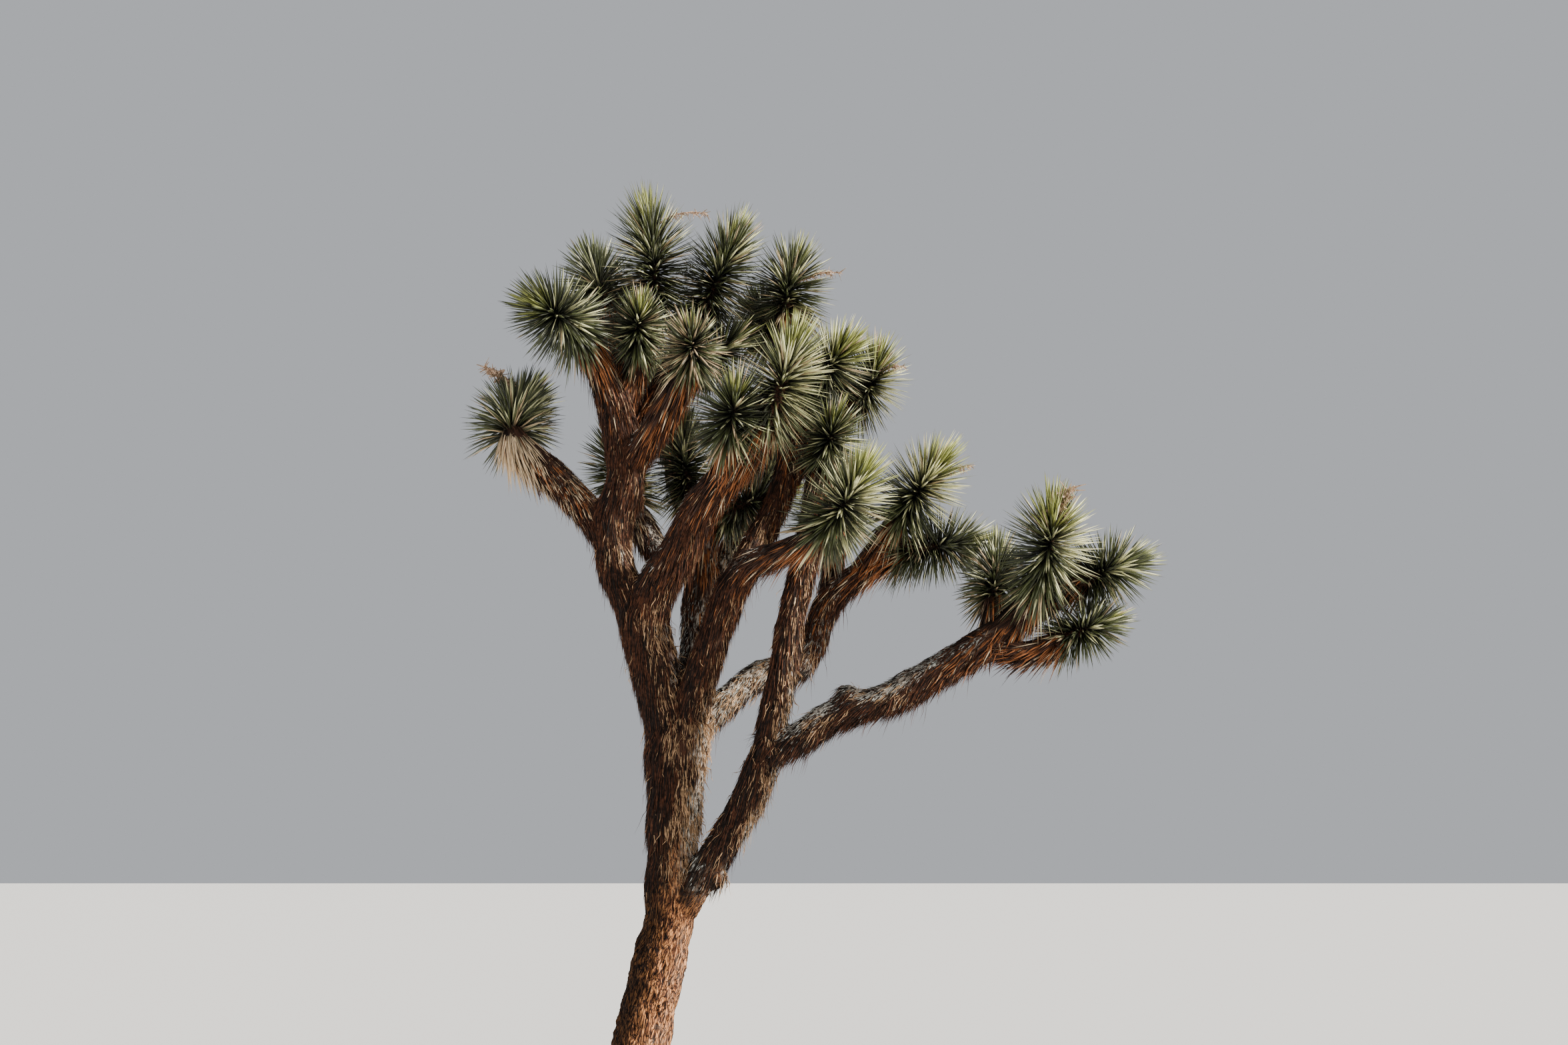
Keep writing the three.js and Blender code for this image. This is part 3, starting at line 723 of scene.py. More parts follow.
def bark_material(tints):
    """Old corky bark below, dark fibrous bark above, bleached grey on the sides that the sun reaches, and painted
    sunlight and shade over all of it by the side it faces.
    """
    material, net, shader = new_material("bark", Roughness=0.92, Specular_IOR_Level=0.2)

    def on_both_grains(kind, output, stretch, inputs, **settings):
        """The same texture on the grain of the limbs of even and odd depth, blended over their seam."""
        pair = []
        for label in ("grain", "other_grain"):
            place = net.stretched(net.attribute(label, "Vector"), stretch)
            wobble = net.node("ShaderNodeTexNoise", {"Scale": 16, "Vector": place})["Color"]
            warped = net.vectors("MULTIPLY_ADD", wobble, (0.07, 0.07, 0.07), place)
            pair.append(net.node(kind, {**inputs, "Vector": warped}, **settings)[output])
        return net.mixed(net.attribute("seam"), *pair, "FLOAT")

    def grained(scale, detail, stretch):
        inputs = {"Scale": scale, "Detail": detail, "Roughness": 0.62}
        return on_both_grains("ShaderNodeTexNoise", "Fac", stretch, inputs)

    cells = {"Scale": 82}
    plates = on_both_grains("ShaderNodeTexVoronoi", "Distance", (1, 1, 0.22), cells, feature="DISTANCE_TO_EDGE")
    cork = grained(105, 6, (1, 1, 0.24))
    fibre = grained(95, 5, (1, 1, 0.07))
    flecks = grained(62, 4, (1, 1, 0.4))
    ragged = net.maths("MULTIPLY", plates, net.ranged(cork, 0.3, 2.4, 0.36, 0.64))
    # The gaps between plates take the fissure colour: dark inner bark with painted shade.
    plate = net.ramp(ragged, (0.0, (0, 0, 0)), (0.03, (0.25, 0.25, 0.25)), (0.11, (1, 1, 1)))
    ridges = net.ramp(cork, (0.36, tints.fissure_shade), (0.48, tints.cork), (0.60, tints.cork_ridge))
    corky = net.mixed(plate, (*tints.fissure_shade, 1), ridges)
    fibrous = net.ramp(fibre, (0.38, tints.fissure_shade), (0.54, tints.fibre), (0.74, tints.fibre_light))
    grey = net.ramp(flecks, (0.44, tints.fissure_shade), (0.51, tints.bleached), (0.6, tints.bleached_light))
    colour = net.mixed(net.attribute("cork"), fibrous, corky)
    colour = net.mixed(net.attribute("bleach"), colour, grey)
    # Painted sunlight and shade: the colour is scaled from dark on the side away from the sun to light on the side
    # facing it.
    colour = net.scaled(colour, net.ranged(net.attribute("sunned"), 0.20, 1.38))
    height = net.maths("ADD", net.maths("MULTIPLY", plate, net.attribute("cork")), fibre)
    surface(net, shader, colour, height, 1, 0.014)
    return material


def strand_material(name, dark, light, foot_shade):
    """Dry fibres: streaks between two tones, darker by the foot shade where they start, a painted shade."""
    material, net, shader = new_material(name, Roughness=0.85, Specular_IOR_Level=0.25)
    streaks = net.object_noise(45, 4)
    colour = net.ramp(streaks, (0.34, dark), (0.62, light))
    colour = net.scaled(colour, net.ranged(net.attribute("along"), foot_shade, 1.1))
    surface(net, shader, colour, streaks, 0.3, 0.003)
    return material


# ---- geometry nodes ---------------------------------------------------------


def tree_with_inputs(name, inputs):
    """A node tree with a geometry input and output and the named inputs. None stands for a material."""
    kinds = {str: "String", float: "Float", int: "Int", type(None): "Material"}
    tree = bpy.data.node_groups.new(name, "GeometryNodeTree")
    tree.interface.new_socket("Geometry", in_out="INPUT", socket_type="NodeSocketGeometry")
    for label, value in inputs.items():
        socket = tree.interface.new_socket(label, in_out="INPUT", socket_type="NodeSocket" + kinds[type(value)])
        if value is not None:
            socket.default_value = value
    tree.interface.new_socket("Geometry", in_out="OUTPUT", socket_type="NodeSocketGeometry")
    net = Net(tree)
    return tree, net, net.node("NodeGroupInput")


def grow_by(tree, name, data, inputs):
    """The plain mesh that the node tree makes of a mesh or curve with these inputs."""
    holder = new_object(name, data)
    modifier = holder.modifiers.new("rule", "NODES")
    modifier.node_group = tree
    sockets = {item.name: item.identifier for item in tree.interface.items_tree if item.in_out == "INPUT"}
    for label, value in inputs.items():
        modifier[sockets[label]] = value
    return plain_mesh(holder, name)


def strand_tree():
    """Short tapering strands scattered on a surface, hanging the way that its hang attribute says."""
    defaults = {
        "Cover": "cover", "Density": 900.0, "Length": 0.07, "Width": 0.006, "Lift": 0.35, "Bends": 1, "Curl": 0.03,
        "Droop": 0.02, "Seed": 1, "Finish": None,
    }
    tree, net, given = tree_with_inputs("strands_on_bark", defaults)

    def varied(label, low, high, shift):
        """An input times a random number for each strand."""
        random = net.random("FLOAT", low, high, net.maths("ADD", given["Seed"], shift))
        return net.maths("MULTIPLY", given[label], random)

    density = net.maths("MULTIPLY", net.named(given["Cover"]), given["Density"])
    inputs = {"Mesh": given["Geometry"], "Density": density, "Seed": given["Seed"]}
    scatter = net.node("GeometryNodeDistributePointsOnFaces", inputs)
    outward = net.scaled(scatter["Normal"], varied("Lift", 0.15, 1.5, 11))
    leaning = net.vectors("ADD", net.named("hang", "FLOAT_VECTOR"), outward)
    jitter = net.random("FLOAT_VECTOR", (-0.2, -0.2, -0.15), (0.2, 0.2, 0.15), given["Seed"])
    stray = net.scaled(jitter, net.maths("ADD", given["Lift"], 0.35))
    along = net.aligned("Z", {"Vector": net.vectors("ADD", leaning, stray)})
    flat = net.aligned("Y", {"Rotation": along, "Vector": scatter["Normal"]}, pivot_axis="Z")
    height = net.node("ShaderNodeSeparateXYZ", {0: net.node("GeometryNodeInputPosition")[0]})["Z"]
    inputs = {"Geometry": net.cone(3, given["Bends"], 0), "Name": "along", "Value": height}
    strand = net.node("GeometryNodeStoreNamedAttribute", inputs, data_type="FLOAT")[0]
    width = varied("Width", 0.6, 1.5, 23)
    size = net.combined(width, net.maths("MULTIPLY", width, 0.4), varied("Length", 0.45, 1.5, 31))
    real = net.copies(scatter["Points"], strand, flat, size)
    wobble = net.vectors("SUBTRACT", net.node("ShaderNodeTexNoise", {"Scale": 20})["Color"], (0.5, 0.5, 0.5))
    squared = net.maths("MULTIPLY", net.named("along"), net.named("along"))
    fall = net.maths("MULTIPLY", net.maths("MULTIPLY", squared, given["Droop"]), -1)
    offset = net.vectors("ADD", net.scaled(wobble, given["Curl"]), net.combined(0, 0, fall))
    net.end(net.node("GeometryNodeSetPosition", {"Geometry": real, "Offset": offset})[0], given["Finish"])
    return tree


def stalk_tree():
    """A curve becomes a thin tapering stalk with spent husks standing off it on all sides."""
    defaults = {
        "Stalk Radius": 0.008, "Husk Spacing": 0.006, "Husk Length": 0.045, "Husk Width": 0.013, "Bare Share": 0.35,
        "Seed": 5, "Finish": None,
    }
    tree, net, given = tree_with_inputs("dried_flower_stalk", defaults)
    share = net.node("GeometryNodeSplineParameter")["Factor"]
    radius = net.maths("MULTIPLY", net.ranged(share, 1.0, 0.3), given["Stalk Radius"])
    sized = net.node("GeometryNodeSetCurveRadius", {"Curve": given["Geometry"], "Radius": radius})[0]
    ring = net.node("GeometryNodeCurvePrimitiveCircle", {"Resolution": 6, "Radius": 1.0})["Curve"]
    inputs = {"Curve": sized, "Profile Curve": ring, "Scale": radius, "Fill Caps": True}
    rod = net.node("GeometryNodeCurveToMesh", inputs)[0]
    inputs = {"Curve": given["Geometry"], "Start": given["Bare Share"]}
    upper = net.node("GeometryNodeTrimCurve", inputs, mode="FACTOR")[0]
    inputs = {"Curve": upper, "Length": given["Husk Spacing"]}
    points = net.node("GeometryNodeCurveToPoints", inputs, mode="LENGTH")
    turn = net.random("FLOAT_VECTOR", (-1, -1, -1.1), (1, 1, 0.35), given["Seed"])
    lean = net.vectors("MULTIPLY_ADD", points["Tangent"], (0.4, 0.4, 0.4), turn)
    size = net.combined(given["Husk Width"], given["Husk Width"], given["Husk Length"])
    size = net.vectors("MULTIPLY", size, net.random("FLOAT_VECTOR", (0.5, 0.3, 0.5), (1.2, 0.8, 1.4)))
    husks = net.copies(points["Points"], net.cone(4, 2, 0.12), net.aligned("Z", {"Vector": lean}), size)
    both = tree.nodes.new("GeometryNodeJoinGeometry")
    for piece in (rod, husks):
        net.feed(both.inputs[0], piece)
    net.end(both.outputs[0], given["Finish"])
    return tree


# ---- settings ---------------------------------------------------------------


def colour(name, description, value):
    return FloatVectorProperty(name=name, description=description, default=value, subtype="COLOR", min=0, max=1)


def metres(name, description, value):
    return FloatProperty(name=name, description=description, default=value, min=0, subtype="DISTANCE", unit="LENGTH")


def whole(name, description, value):
    return IntProperty(name=name, description=description, default=value, min=0)


class BarkSettings(bpy.types.PropertyGroup):
    lower_grain: metres("Lower Grain", "Voxel size of the trunk's skin", 0.0078)
    upper_grain: metres("Upper Grain", "Voxel size of the upper boughs' skin", 0.0158)
    cork_depth: metres("Cork Depth", "Depth of the fissures in old bark", 0.016)
    fibre_depth: metres("Fibre Depth", "Depth of the grooves in fibrous bark", 0.006)
    cork_height: metres("Cork Height", "Height above which the bark is no longer corky", 1.45)
    # The fissure colour is the dark inner bark with painted shade deep in the fissures.
    fissure_shade: colour("Fissure", "Colour deep in the bark", (0.020, 0.010, 0.007))
    cork: colour("Cork", "Colour of old corky bark", (0.150, 0.056, 0.026))
    cork_ridge: colour("Cork Ridge", "Colour of the ridges of old bark", (0.760, 0.335, 0.125))
    fibre: colour("Fibre", "Colour of fibrous bark", (0.060, 0.028, 0.018))
    fibre_light: colour("Light Fibre", "Colour of its raised fibres", (0.260, 0.130, 0.070))
    bleached: colour("Bleached", "Colour of sun-bleached bark", (0.360, 0.300, 0.240))
    bleached_light: colour("Light Bleached", "Colour of its raised fibres", (0.800, 0.720, 0.620))


class LeafSettings(bpy.types.PropertyGroup):
    per_metre: whole("Leaves per Metre", "Live leaves on a metre of stem", 1150)
    per_head: whole("Leaves per Head", "Live leaves that every head has", 185)
    width: metres("Leaf Width", "Width of a live leaf", 0.0132)
    spread: FloatProperty(
        name="Spread", description="Random lean of a leaf", default=math.radians(7), subtype="ANGLE", unit="ROTATION"
    )
    seed: whole("Seed", "Seed of the leaves' rule", 7)
    young: colour("Young", "Colour of the spear leaves", (0.300, 0.325, 0.085))
    deep: colour("Deep", "Colour of deep green leaves", (0.078, 0.092, 0.030))
    # Painted sunlight: the colour of leaves that face the sun.
    pale: colour("Pale", "Colour of leaves with a pale bloom", (0.780, 0.770, 0.410))
    old: colour("Old", "Colour of dead leaves among the live ones", (0.470, 0.350, 0.200))
    # Painted shade: the colour of leaves deep in the crown and facing away from the sun.
    shaded: colour("Shaded", "Colour of leaves deep in the crown", (0.036, 0.042, 0.018))


class CoatSettings(bpy.types.PropertyGroup):
    per_metre: whole("Dead Leaves per Metre", "Dead leaves on a metre of limb", 950)
    length: metres("Dead Leaf Length", "Length of a fresh dead leaf", 0.21)
    width: metres("Dead Leaf Width", "Width of a dead leaf", 0.0105)
    reach: metres("Coat Reach", "How far below the live leaves the long coat lasts", 0.95)
    seed: whole("Seed", "Seed of the coat's rule", 21)
    straw: colour("Straw", "Colour of newly dead leaves", (0.880, 0.670, 0.430))
    rust: colour("Rust", "Colour of weathered dead leaves", (0.430, 0.150, 0.050))
    brown: colour("Brown", "Colour of old dead leaves", (0.062, 0.028, 0.018))
    cover: FloatProperty(name="Strand Cover", description="How thickly short strands cover the bark", default=1, min=0)
    strand_bleached: colour("Bleached Strand", "Colour of weathered strands in the sun", (0.820, 0.740, 0.640))
    # Golden strands are dealt to the side facing the sun as painted sunlight, rust and dark ones partly as painted
    # shade to the far side.
    strand_gold: colour("Golden Strand", "Colour of strands that catch the sun", (0.720, 0.440, 0.235))
    strand_rust: colour("Rust Strand", "Colour of strands in the shade", (0.120, 0.043, 0.020))
    strand_dark: colour("Dark Strand", "Colour of old strands", (0.022, 0.013, 0.010))


class StalkSettings(bpy.types.PropertyGroup):
    radius: metres("Stalk Radius", "Radius of a dried flower stalk at its foot", 0.007)
    husk_length: metres("Husk Length", "Length of a spent husk", 0.052)
    husk_spacing: metres("Husk Spacing", "Length of stalk between two husks", 0.0042)
    husk_width: metres("Husk Width", "Width of a spent husk", 0.010)
    seed: whole("Seed", "Seed of the husks' rule", 5)
    dry: colour("Dry", "Colour of the stalk and husks", (0.700, 0.500, 0.360))
    dry_dark: colour("Dark Dry", "Colour of their hollows", (0.290, 0.190, 0.120))


class StageSettings(bpy.types.PropertyGroup):
    floor_size: metres("Floor Size", "Side of the square floor", 120.0)
    floor: colour("Floor", "Colour of the floor", (0.74, 0.73, 0.71))
    sky: colour("Surround", "Colour of the soft light all round", (0.86, 0.89, 0.94))


# ---- bark -------------------------------------------------------------------


class TREE_OT_bark(bpy.types.Operator):
    """Make the bark of the trunk and boughs with its relief"""

    bl_idname = "joshua_tree.bark"
    bl_label = "Bark"

    def execute(self, context):
        tints = context.scene.joshua_bark
        material = bark_material(tints)
        lower = [LIMBS[name] for name in FINE_LIMBS]
        upper = [limb for name, limb in LIMBS.items() if name not in FINE_LIMBS]
        skins = (
            ("bark_lower", lower, [], tints.lower_grain, "trunk_bark"),
            ("bark_upper", upper, list(STEMS.values()), tints.upper_grain, "bough_bark"),
        )
        for name, limbs, stems, grain, slot in skins:
            skin = grow_skin(name, limbs + stems, grain, tints)
            finish_piece(skin, material, [limb.name for limb in limbs])
        return {"FINISHED"}


def tube_arrays(limb, seed):
    """A closed lumpy tube round a limb. The trunk's has a domed top and lobes at its foot."""
    count, sides = max(6, int(limb.path.length / RING_STEP)), RING_SIDES
    shares = np.linspace(0, 1, count)
    turn = np.arange(sides) * 2 * math.pi / sides
    centres, ways, side = limb.path.at(shares), limb.path.way(shares), limb.side_at(shares)
    across = np.cross(ways, side)
    ring = np.cos(turn)[None, :, None] * side[:, None, :] + np.sin(turn)[None, :, None] * across[:, None, :]
    lumps = lattice_noise((centres[:, None, :] * 5 + ring * 0.8).reshape(-1, 3) + seed, 3).reshape(count, sides)
    radii = limb.radius(shares)[:, None] * np.ones(sides) * (1 + LUMPINESS * lumps)
    if limb.name == "trunk":
        radii *= (1 - 0.05 * smooth_step(shares, 0.88, 1.0))[:, None]
        radii = np.vstack([radii, radii[-1] * TRUNK_CROWN[:, 1:]])
        centres = np.vstack([centres, centres[-1] + TRUNK_CROWN[:, :1] * [0, 0, 1]])
        shares = np.concatenate([shares, np.ones(len(TRUNK_CROWN))])
        count = len(shares)
        radii *= 1 + 0.1 * flare_at(shares)[:, None] * np.cos(FLARE_LOBES * turn)[None]
        ring = np.stack([np.cos(turn), np.sin(turn), 0 * turn], 1)[None]
    places = centres[:, None, :] + radii[:, :, None] * ring
    start, end = centres[0][None], (centres[-1] + ways[-1] * 0.45 * radii[-1].mean())[None]
    if limb.name == "trunk":
        places[:, :, 2] = centres[:, 2][:, None]
        places[0, :, 2] = -BELOW_GROUND
        start, end = start - [[0, 0, BELOW_GROUND]], centres[-1][None]
    places = np.vstack([places.reshape(-1, 3), start, end])
    k = np.arange(sides)
    after = (k + 1) % sides
    row = np.arange(count - 1)[:, None] * sides
    low, beside = (row + k).ravel(), (row + after).ravel()
    first, last = np.full(sides, count * sides), (count - 1) * sides
    faces = (
        (low, beside, beside + sides),
        (low, beside + sides, low + sides),
        (first, after, k),
        (first + 1, last + k, last + after),
    )
    return places, np.vstack([np.stack(corners, 1) for corners in faces])


def ball_arrays(centre, radius):
    """A closed lump, for a knob."""
    sides, last = BALL_SIDES, (BALL_ROWS - 1) * BALL_SIDES
    tilt = np.linspace(0.15, math.pi - 0.15, BALL_ROWS)[:, None]
    turn = np.arange(sides) * 2 * math.pi / sides
    ring = np.stack([np.sin(tilt) * np.cos(turn), np.sin(tilt) * np.sin(turn), np.cos(tilt) + 0 * turn], -1)
    pole = np.array([[0, 0, radius]])
    places = np.vstack([(centre + radius * ring).reshape(-1, 3), centre + pole, centre - pole])
    pairs = [(k, (k + 1) % sides) for k in range(sides)]
    faces = []
    for low in range(0, last, sides):
        for k, after in pairs:
            a, b = low + k, low + after
            faces += [(a, a + sides, b), (b, a + sides, b + sides)]
    for k, after in pairs:
        faces += [(last + sides, k, after), (last + sides + 1, last + after, last + k)]
    return places, np.array(faces)


def skeleton_at(places, limbs):
    """For each place, the nearest samples of the limbs of even and of odd depth, the share of the odd one in a
    blend of both, and the limbs' way, distance to leaves, weathering and painted crown shadow blended round it."""
    centres, radii = gather("centres", limbs), gather("radii", limbs)
    odd = np.concatenate([np.full(len(limb.shares), limb.depth % 2 == 1) for limb in limbs])
    scalars = [gather(field, limbs) for field in ("to_leaves", "weathered", "crown_shadow")]
    blended = np.hstack([gather("ways", limbs), np.stack(scalars, 1)])
    near_even, near_odd = np.empty(len(places), int), np.empty(len(places), int)
    share, soft = np.empty(len(places)), np.empty((len(places), 6))
    for low in range(0, len(places), BATCH):
        part = slice(low, low + BATCH)
        distance = np.sqrt(((places[part, None, :] - centres[None]) ** 2).sum(2)) / radii[None]
        weight = np.exp((distance.min(1)[:, None] - distance) * LIMB_BLEND)
        soft[part] = weight @ blended / weight.sum(1, keepdims=True)
        even = np.where(odd[None], FAR, distance)
        near_even[part] = even.argmin(1)
        distance[:, ~odd] = FAR
        near_odd[part] = distance.argmin(1)
        share[part] = 1 / (1 + np.exp(np.clip((distance.min(1) - even.min(1)) * SEAM_BLEND, -50, 50)))
    return near_even, near_odd, share, unit(soft[:, :3]), *soft[:, 3:].T


def grain_at(places, limbs, near):
    """Places in the limb's own measure: two across the limb and the third along it."""
    centre, way, side, run = (gather(field, limbs)[near] for field in ("centres", "ways", "sides", "runs"))
    out = places - centre
    across = np.sum(out * side, 1), np.sum(out * np.cross(way, side), 1)
    return np.stack([*across, run + np.sum(out * way, 1)], 1)


def bark_relief(grain, cork, tints):
    """Height of the bark: fissured plates where it is corky, and ropes of fibre elsewhere."""
    slanted = grain + grain[:, 2:3] * [0.16, 0, 0]
    ridges = 1 - np.abs(lattice_noise(slanted / PLATES, 11)) * 2
    ridges += 0.8 * (1 - np.abs(lattice_noise(slanted / SMALL_PLATES, 12)) * 2)
    threads = lattice_noise(grain / THREADS, 13) + 0.6 * lattice_noise(grain / 0.035, 14)
    return cork * tints.cork_depth * (ridges - 1.0) * 0.5 + (1 - cork) * tints.fibre_depth * threads


def smooth_union(name, limbs, grain):
    """One smooth skin over the limbs and their knobs."""
    arrays = [tube_arrays(limb, 10 * k) for k, limb in enumerate(limbs)]
    for on, share, way, radius in KNOBS:
        if LIMBS[on] in limbs:
            out = unit(np.array(way, float))
            stands = float(LIMBS[on].radius(np.array(share))) - 0.35 * radius
            arrays.append(ball_arrays(LIMBS[on].path.at(share) + out * stands, radius))
    offsets = np.cumsum([0] + [len(places) for places, _ in arrays[:-1]])
    faces = np.vstack([f + o for (_, f), o in zip(arrays, offsets)])
    core = mesh_piece(name + "_core", np.vstack([places for places, _ in arrays]), faces)
    remesh = core.modifiers.new("skin", "REMESH")
    remesh.mode = "VOXEL"
    remesh.voxel_size = grain
    smooth = core.modifiers.new("soften", "SMOOTH")
    smooth.factor = 0.5
    smooth.iterations = int(SOFTENED_LENGTH / grain)
    return plain_mesh(core, name)


def read_vectors(rows, slot):
    values = np.empty(len(rows) * 3, np.float32)
    rows.foreach_get(slot, values)
    return values.reshape(-1, 3).astype(float)


def grow_skin(name, limbs, grain, tints):
    """One skin over the limbs, with relief and the fields that its colour and strands read."""
    skin = smooth_union(name, limbs, grain)
    mesh = skin.data
    co, normal = read_vectors(mesh.vertices, "co"), read_vectors(mesh.vertex_normals, "vector")
    near_even, near_odd, share, soft_way, to_leaves, weathered, crown_shadow = skeleton_at(co, limbs)
    grains = grain_at(co, limbs, near_even), grain_at(co, limbs, near_odd)

    # Corky bark below, fibrous bark above, and their relief.
    wander = 0.16 * lattice_noise(co * 5, 5)
    cork = 1 - smooth_step(co[:, 2] + wander, tints.cork_height - 0.3, tints.cork_height + 0.25)
    relief = mix(*(bark_relief(field, cork, tints) for field in grains), share)
    relief += SWELLINGS * lattice_noise(co / 0.13, 15)
    co += normal * relief[:, None]
    co[:, 2] = np.maximum(co[:, 2], 0)
    mesh.vertices.foreach_set("co", co.astype(np.float32).ravel())

    # Painted sunlight and shade on the bark, by the side it faces and the crown's shadow over it, and where old bark
    # has bleached.
    patches = 0.3 * lattice_noise(co * 6, 21) + 0.2 * lattice_noise(co * 17, 22)
    # The crown's painted shadow: less painted sunlight near the live leaves and on the limbs that the crown shades.
    out_of_crown_shadow = mix(0.12, 1, smooth_step(to_leaves, *OUT_OF_CROWN_SHADOW)) * (1 - crown_shadow)
    # Painted sunlight: the side facing the sun, where golden strands are dealt.
    painted_sunlight = smooth_step(facing(normal, SUN_SIDE) + patches, 0.25, 0.75) * out_of_crown_shadow
    # Painted sunlight and shade: the bark is painted lighter on the side facing the sun and darker on the far side.
    sunned = smooth_step(facing(normal, SUN_SIDE) + 0.6 * patches, 0.1, 0.9)
    # Pale grey edges on the side the sun reaches: partly bleaching, partly a painted highlight.
    edge = smooth_step(facing(normal, BLEACHED_HIGHLIGHT_SIDE) + 0.6 * patches, 0.6, 0.85)
    top = smooth_step(normal[:, 2] + 0.5 * patches, -0.1, 0.4) * smooth_step(1 - np.abs(soft_way[:, 2]), 0.1, 0.4)
    age = smooth_step(to_leaves + patches, *AGED)
    oldest = smooth_step(to_leaves + patches, *OLDEST)
    in_the_sun = (top * age + edge * oldest) * (1 + np.minimum(weathered, 0))
    all_over = weathered * smooth_step(to_leaves + patches, *GREYED)
    above_cork = mix(0.1, 1, smooth_step(co[:, 2], 1.2, 1.7))
    bleach = np.clip(np.maximum(in_the_sun, all_over), 0, 1) * above_cork
    for knot in PALE_KNOTS:
        bleach = np.maximum(bleach, np.exp(-((np.linalg.norm(co - knot, axis=1) / 0.07) ** 2)))

    # Where strands grow, and the way that they hang. Golden and curled strands are dealt to the painted sunlit side,
    # and more rust and dark ones to the painted shade.
    cover = smooth_step(to_leaves, *STRANDED) * (1 - smooth_step(cork, 0.0, 0.9))
    streaks = mix(*(lattice_noise(field / STREAKS, 23) for field in grains), share)
    streaks = smooth_step(streaks, -0.4, 0.3)
    under = smooth_step(-normal[:, 2], 0.0, 0.6)
    hang = unit(mix(-soft_way, DOWN, 0.35))
    hang = unit(hang - normal * np.minimum(np.sum(hang * normal, 1), 0)[:, None])
    fields = {
        "grain": grains[0],
        "other_grain": grains[1],
        "hang": hang,
        "cork": cork,
        "bleach": bleach,
        "seam": share,
        "sunned": sunned,
        "bleached_cover": cover * bleach * (0.3 + 0.7 * streaks),
        "gold_cover": cover * (1 - 0.6 * bleach) * (0.03 + 0.97 * painted_sunlight) * (0.3 + 0.7 * streaks),
        "curled_cover": cover * (0.06 + 0.94 * painted_sunlight) * (0.25 + 0.75 * smooth_step(to_leaves, 1.0, 1.8)),
        "rust_cover": cover * (1 - 0.8 * bleach) * (1 - 0.5 * smooth_step(to_leaves, 0.8, 2.2)) * (1 - 0.6 * painted_sunlight),
        "dark_cover": cover * (1 - 0.6 * bleach) * (0.5 + 0.5 * smooth_step(to_leaves, 0.5, 1.6)) * (1 - 0.7 * painted_sunlight),
        "shaggy_cover": cover * (1 - 0.7 * bleach) * streaks * (0.2 + 0.8 * under),
    }
    add_fields(mesh, fields)
    mesh.polygons.foreach_set("use_smooth", np.ones(len(mesh.polygons), bool))
    mesh.update()
    return skin


# ---- leaves -----------------------------------------------------------------


class TREE_OT_leaves(bpy.types.Operator):
    """Grow the live leaves of every head in a golden-angle spiral"""

    bl_idname = "joshua_tree.leaves"
    bl_label = "Live Leaves"

    def execute(self, context):
        leaf = context.scene.joshua_leaf
        rng = np.random.default_rng(leaf.seed)
        rows = [head_leaves(stem, leaf, rng) for stem in STEMS.values()]
        kinds = []
        for label, roughness, gloss in LEAF_KINDS:
            name, tint = "leaves_" + label, tuple(getattr(leaf, label))
            # The dark foot is painted shade in the core of the head.
            foot = tuple(0.16 * c + 0.008 for c in tint)
            # The lighter margin is a painted highlight along the edges.
            margin_highlight = tuple(min(1, 0.8 * c + 0.14) for c in tint)
            material = blade_material(name, foot, tint, LEAF_POINT, margin_highlight, roughness, LEAF_CONTRAST, gloss)
            kinds.append((name, material))
        grow_blades(rows, kinds, LEAF_OUTLINE, LEAF_KEEL, {"leaves_deep": list(STEMS)})
        return {"FINISHED"}


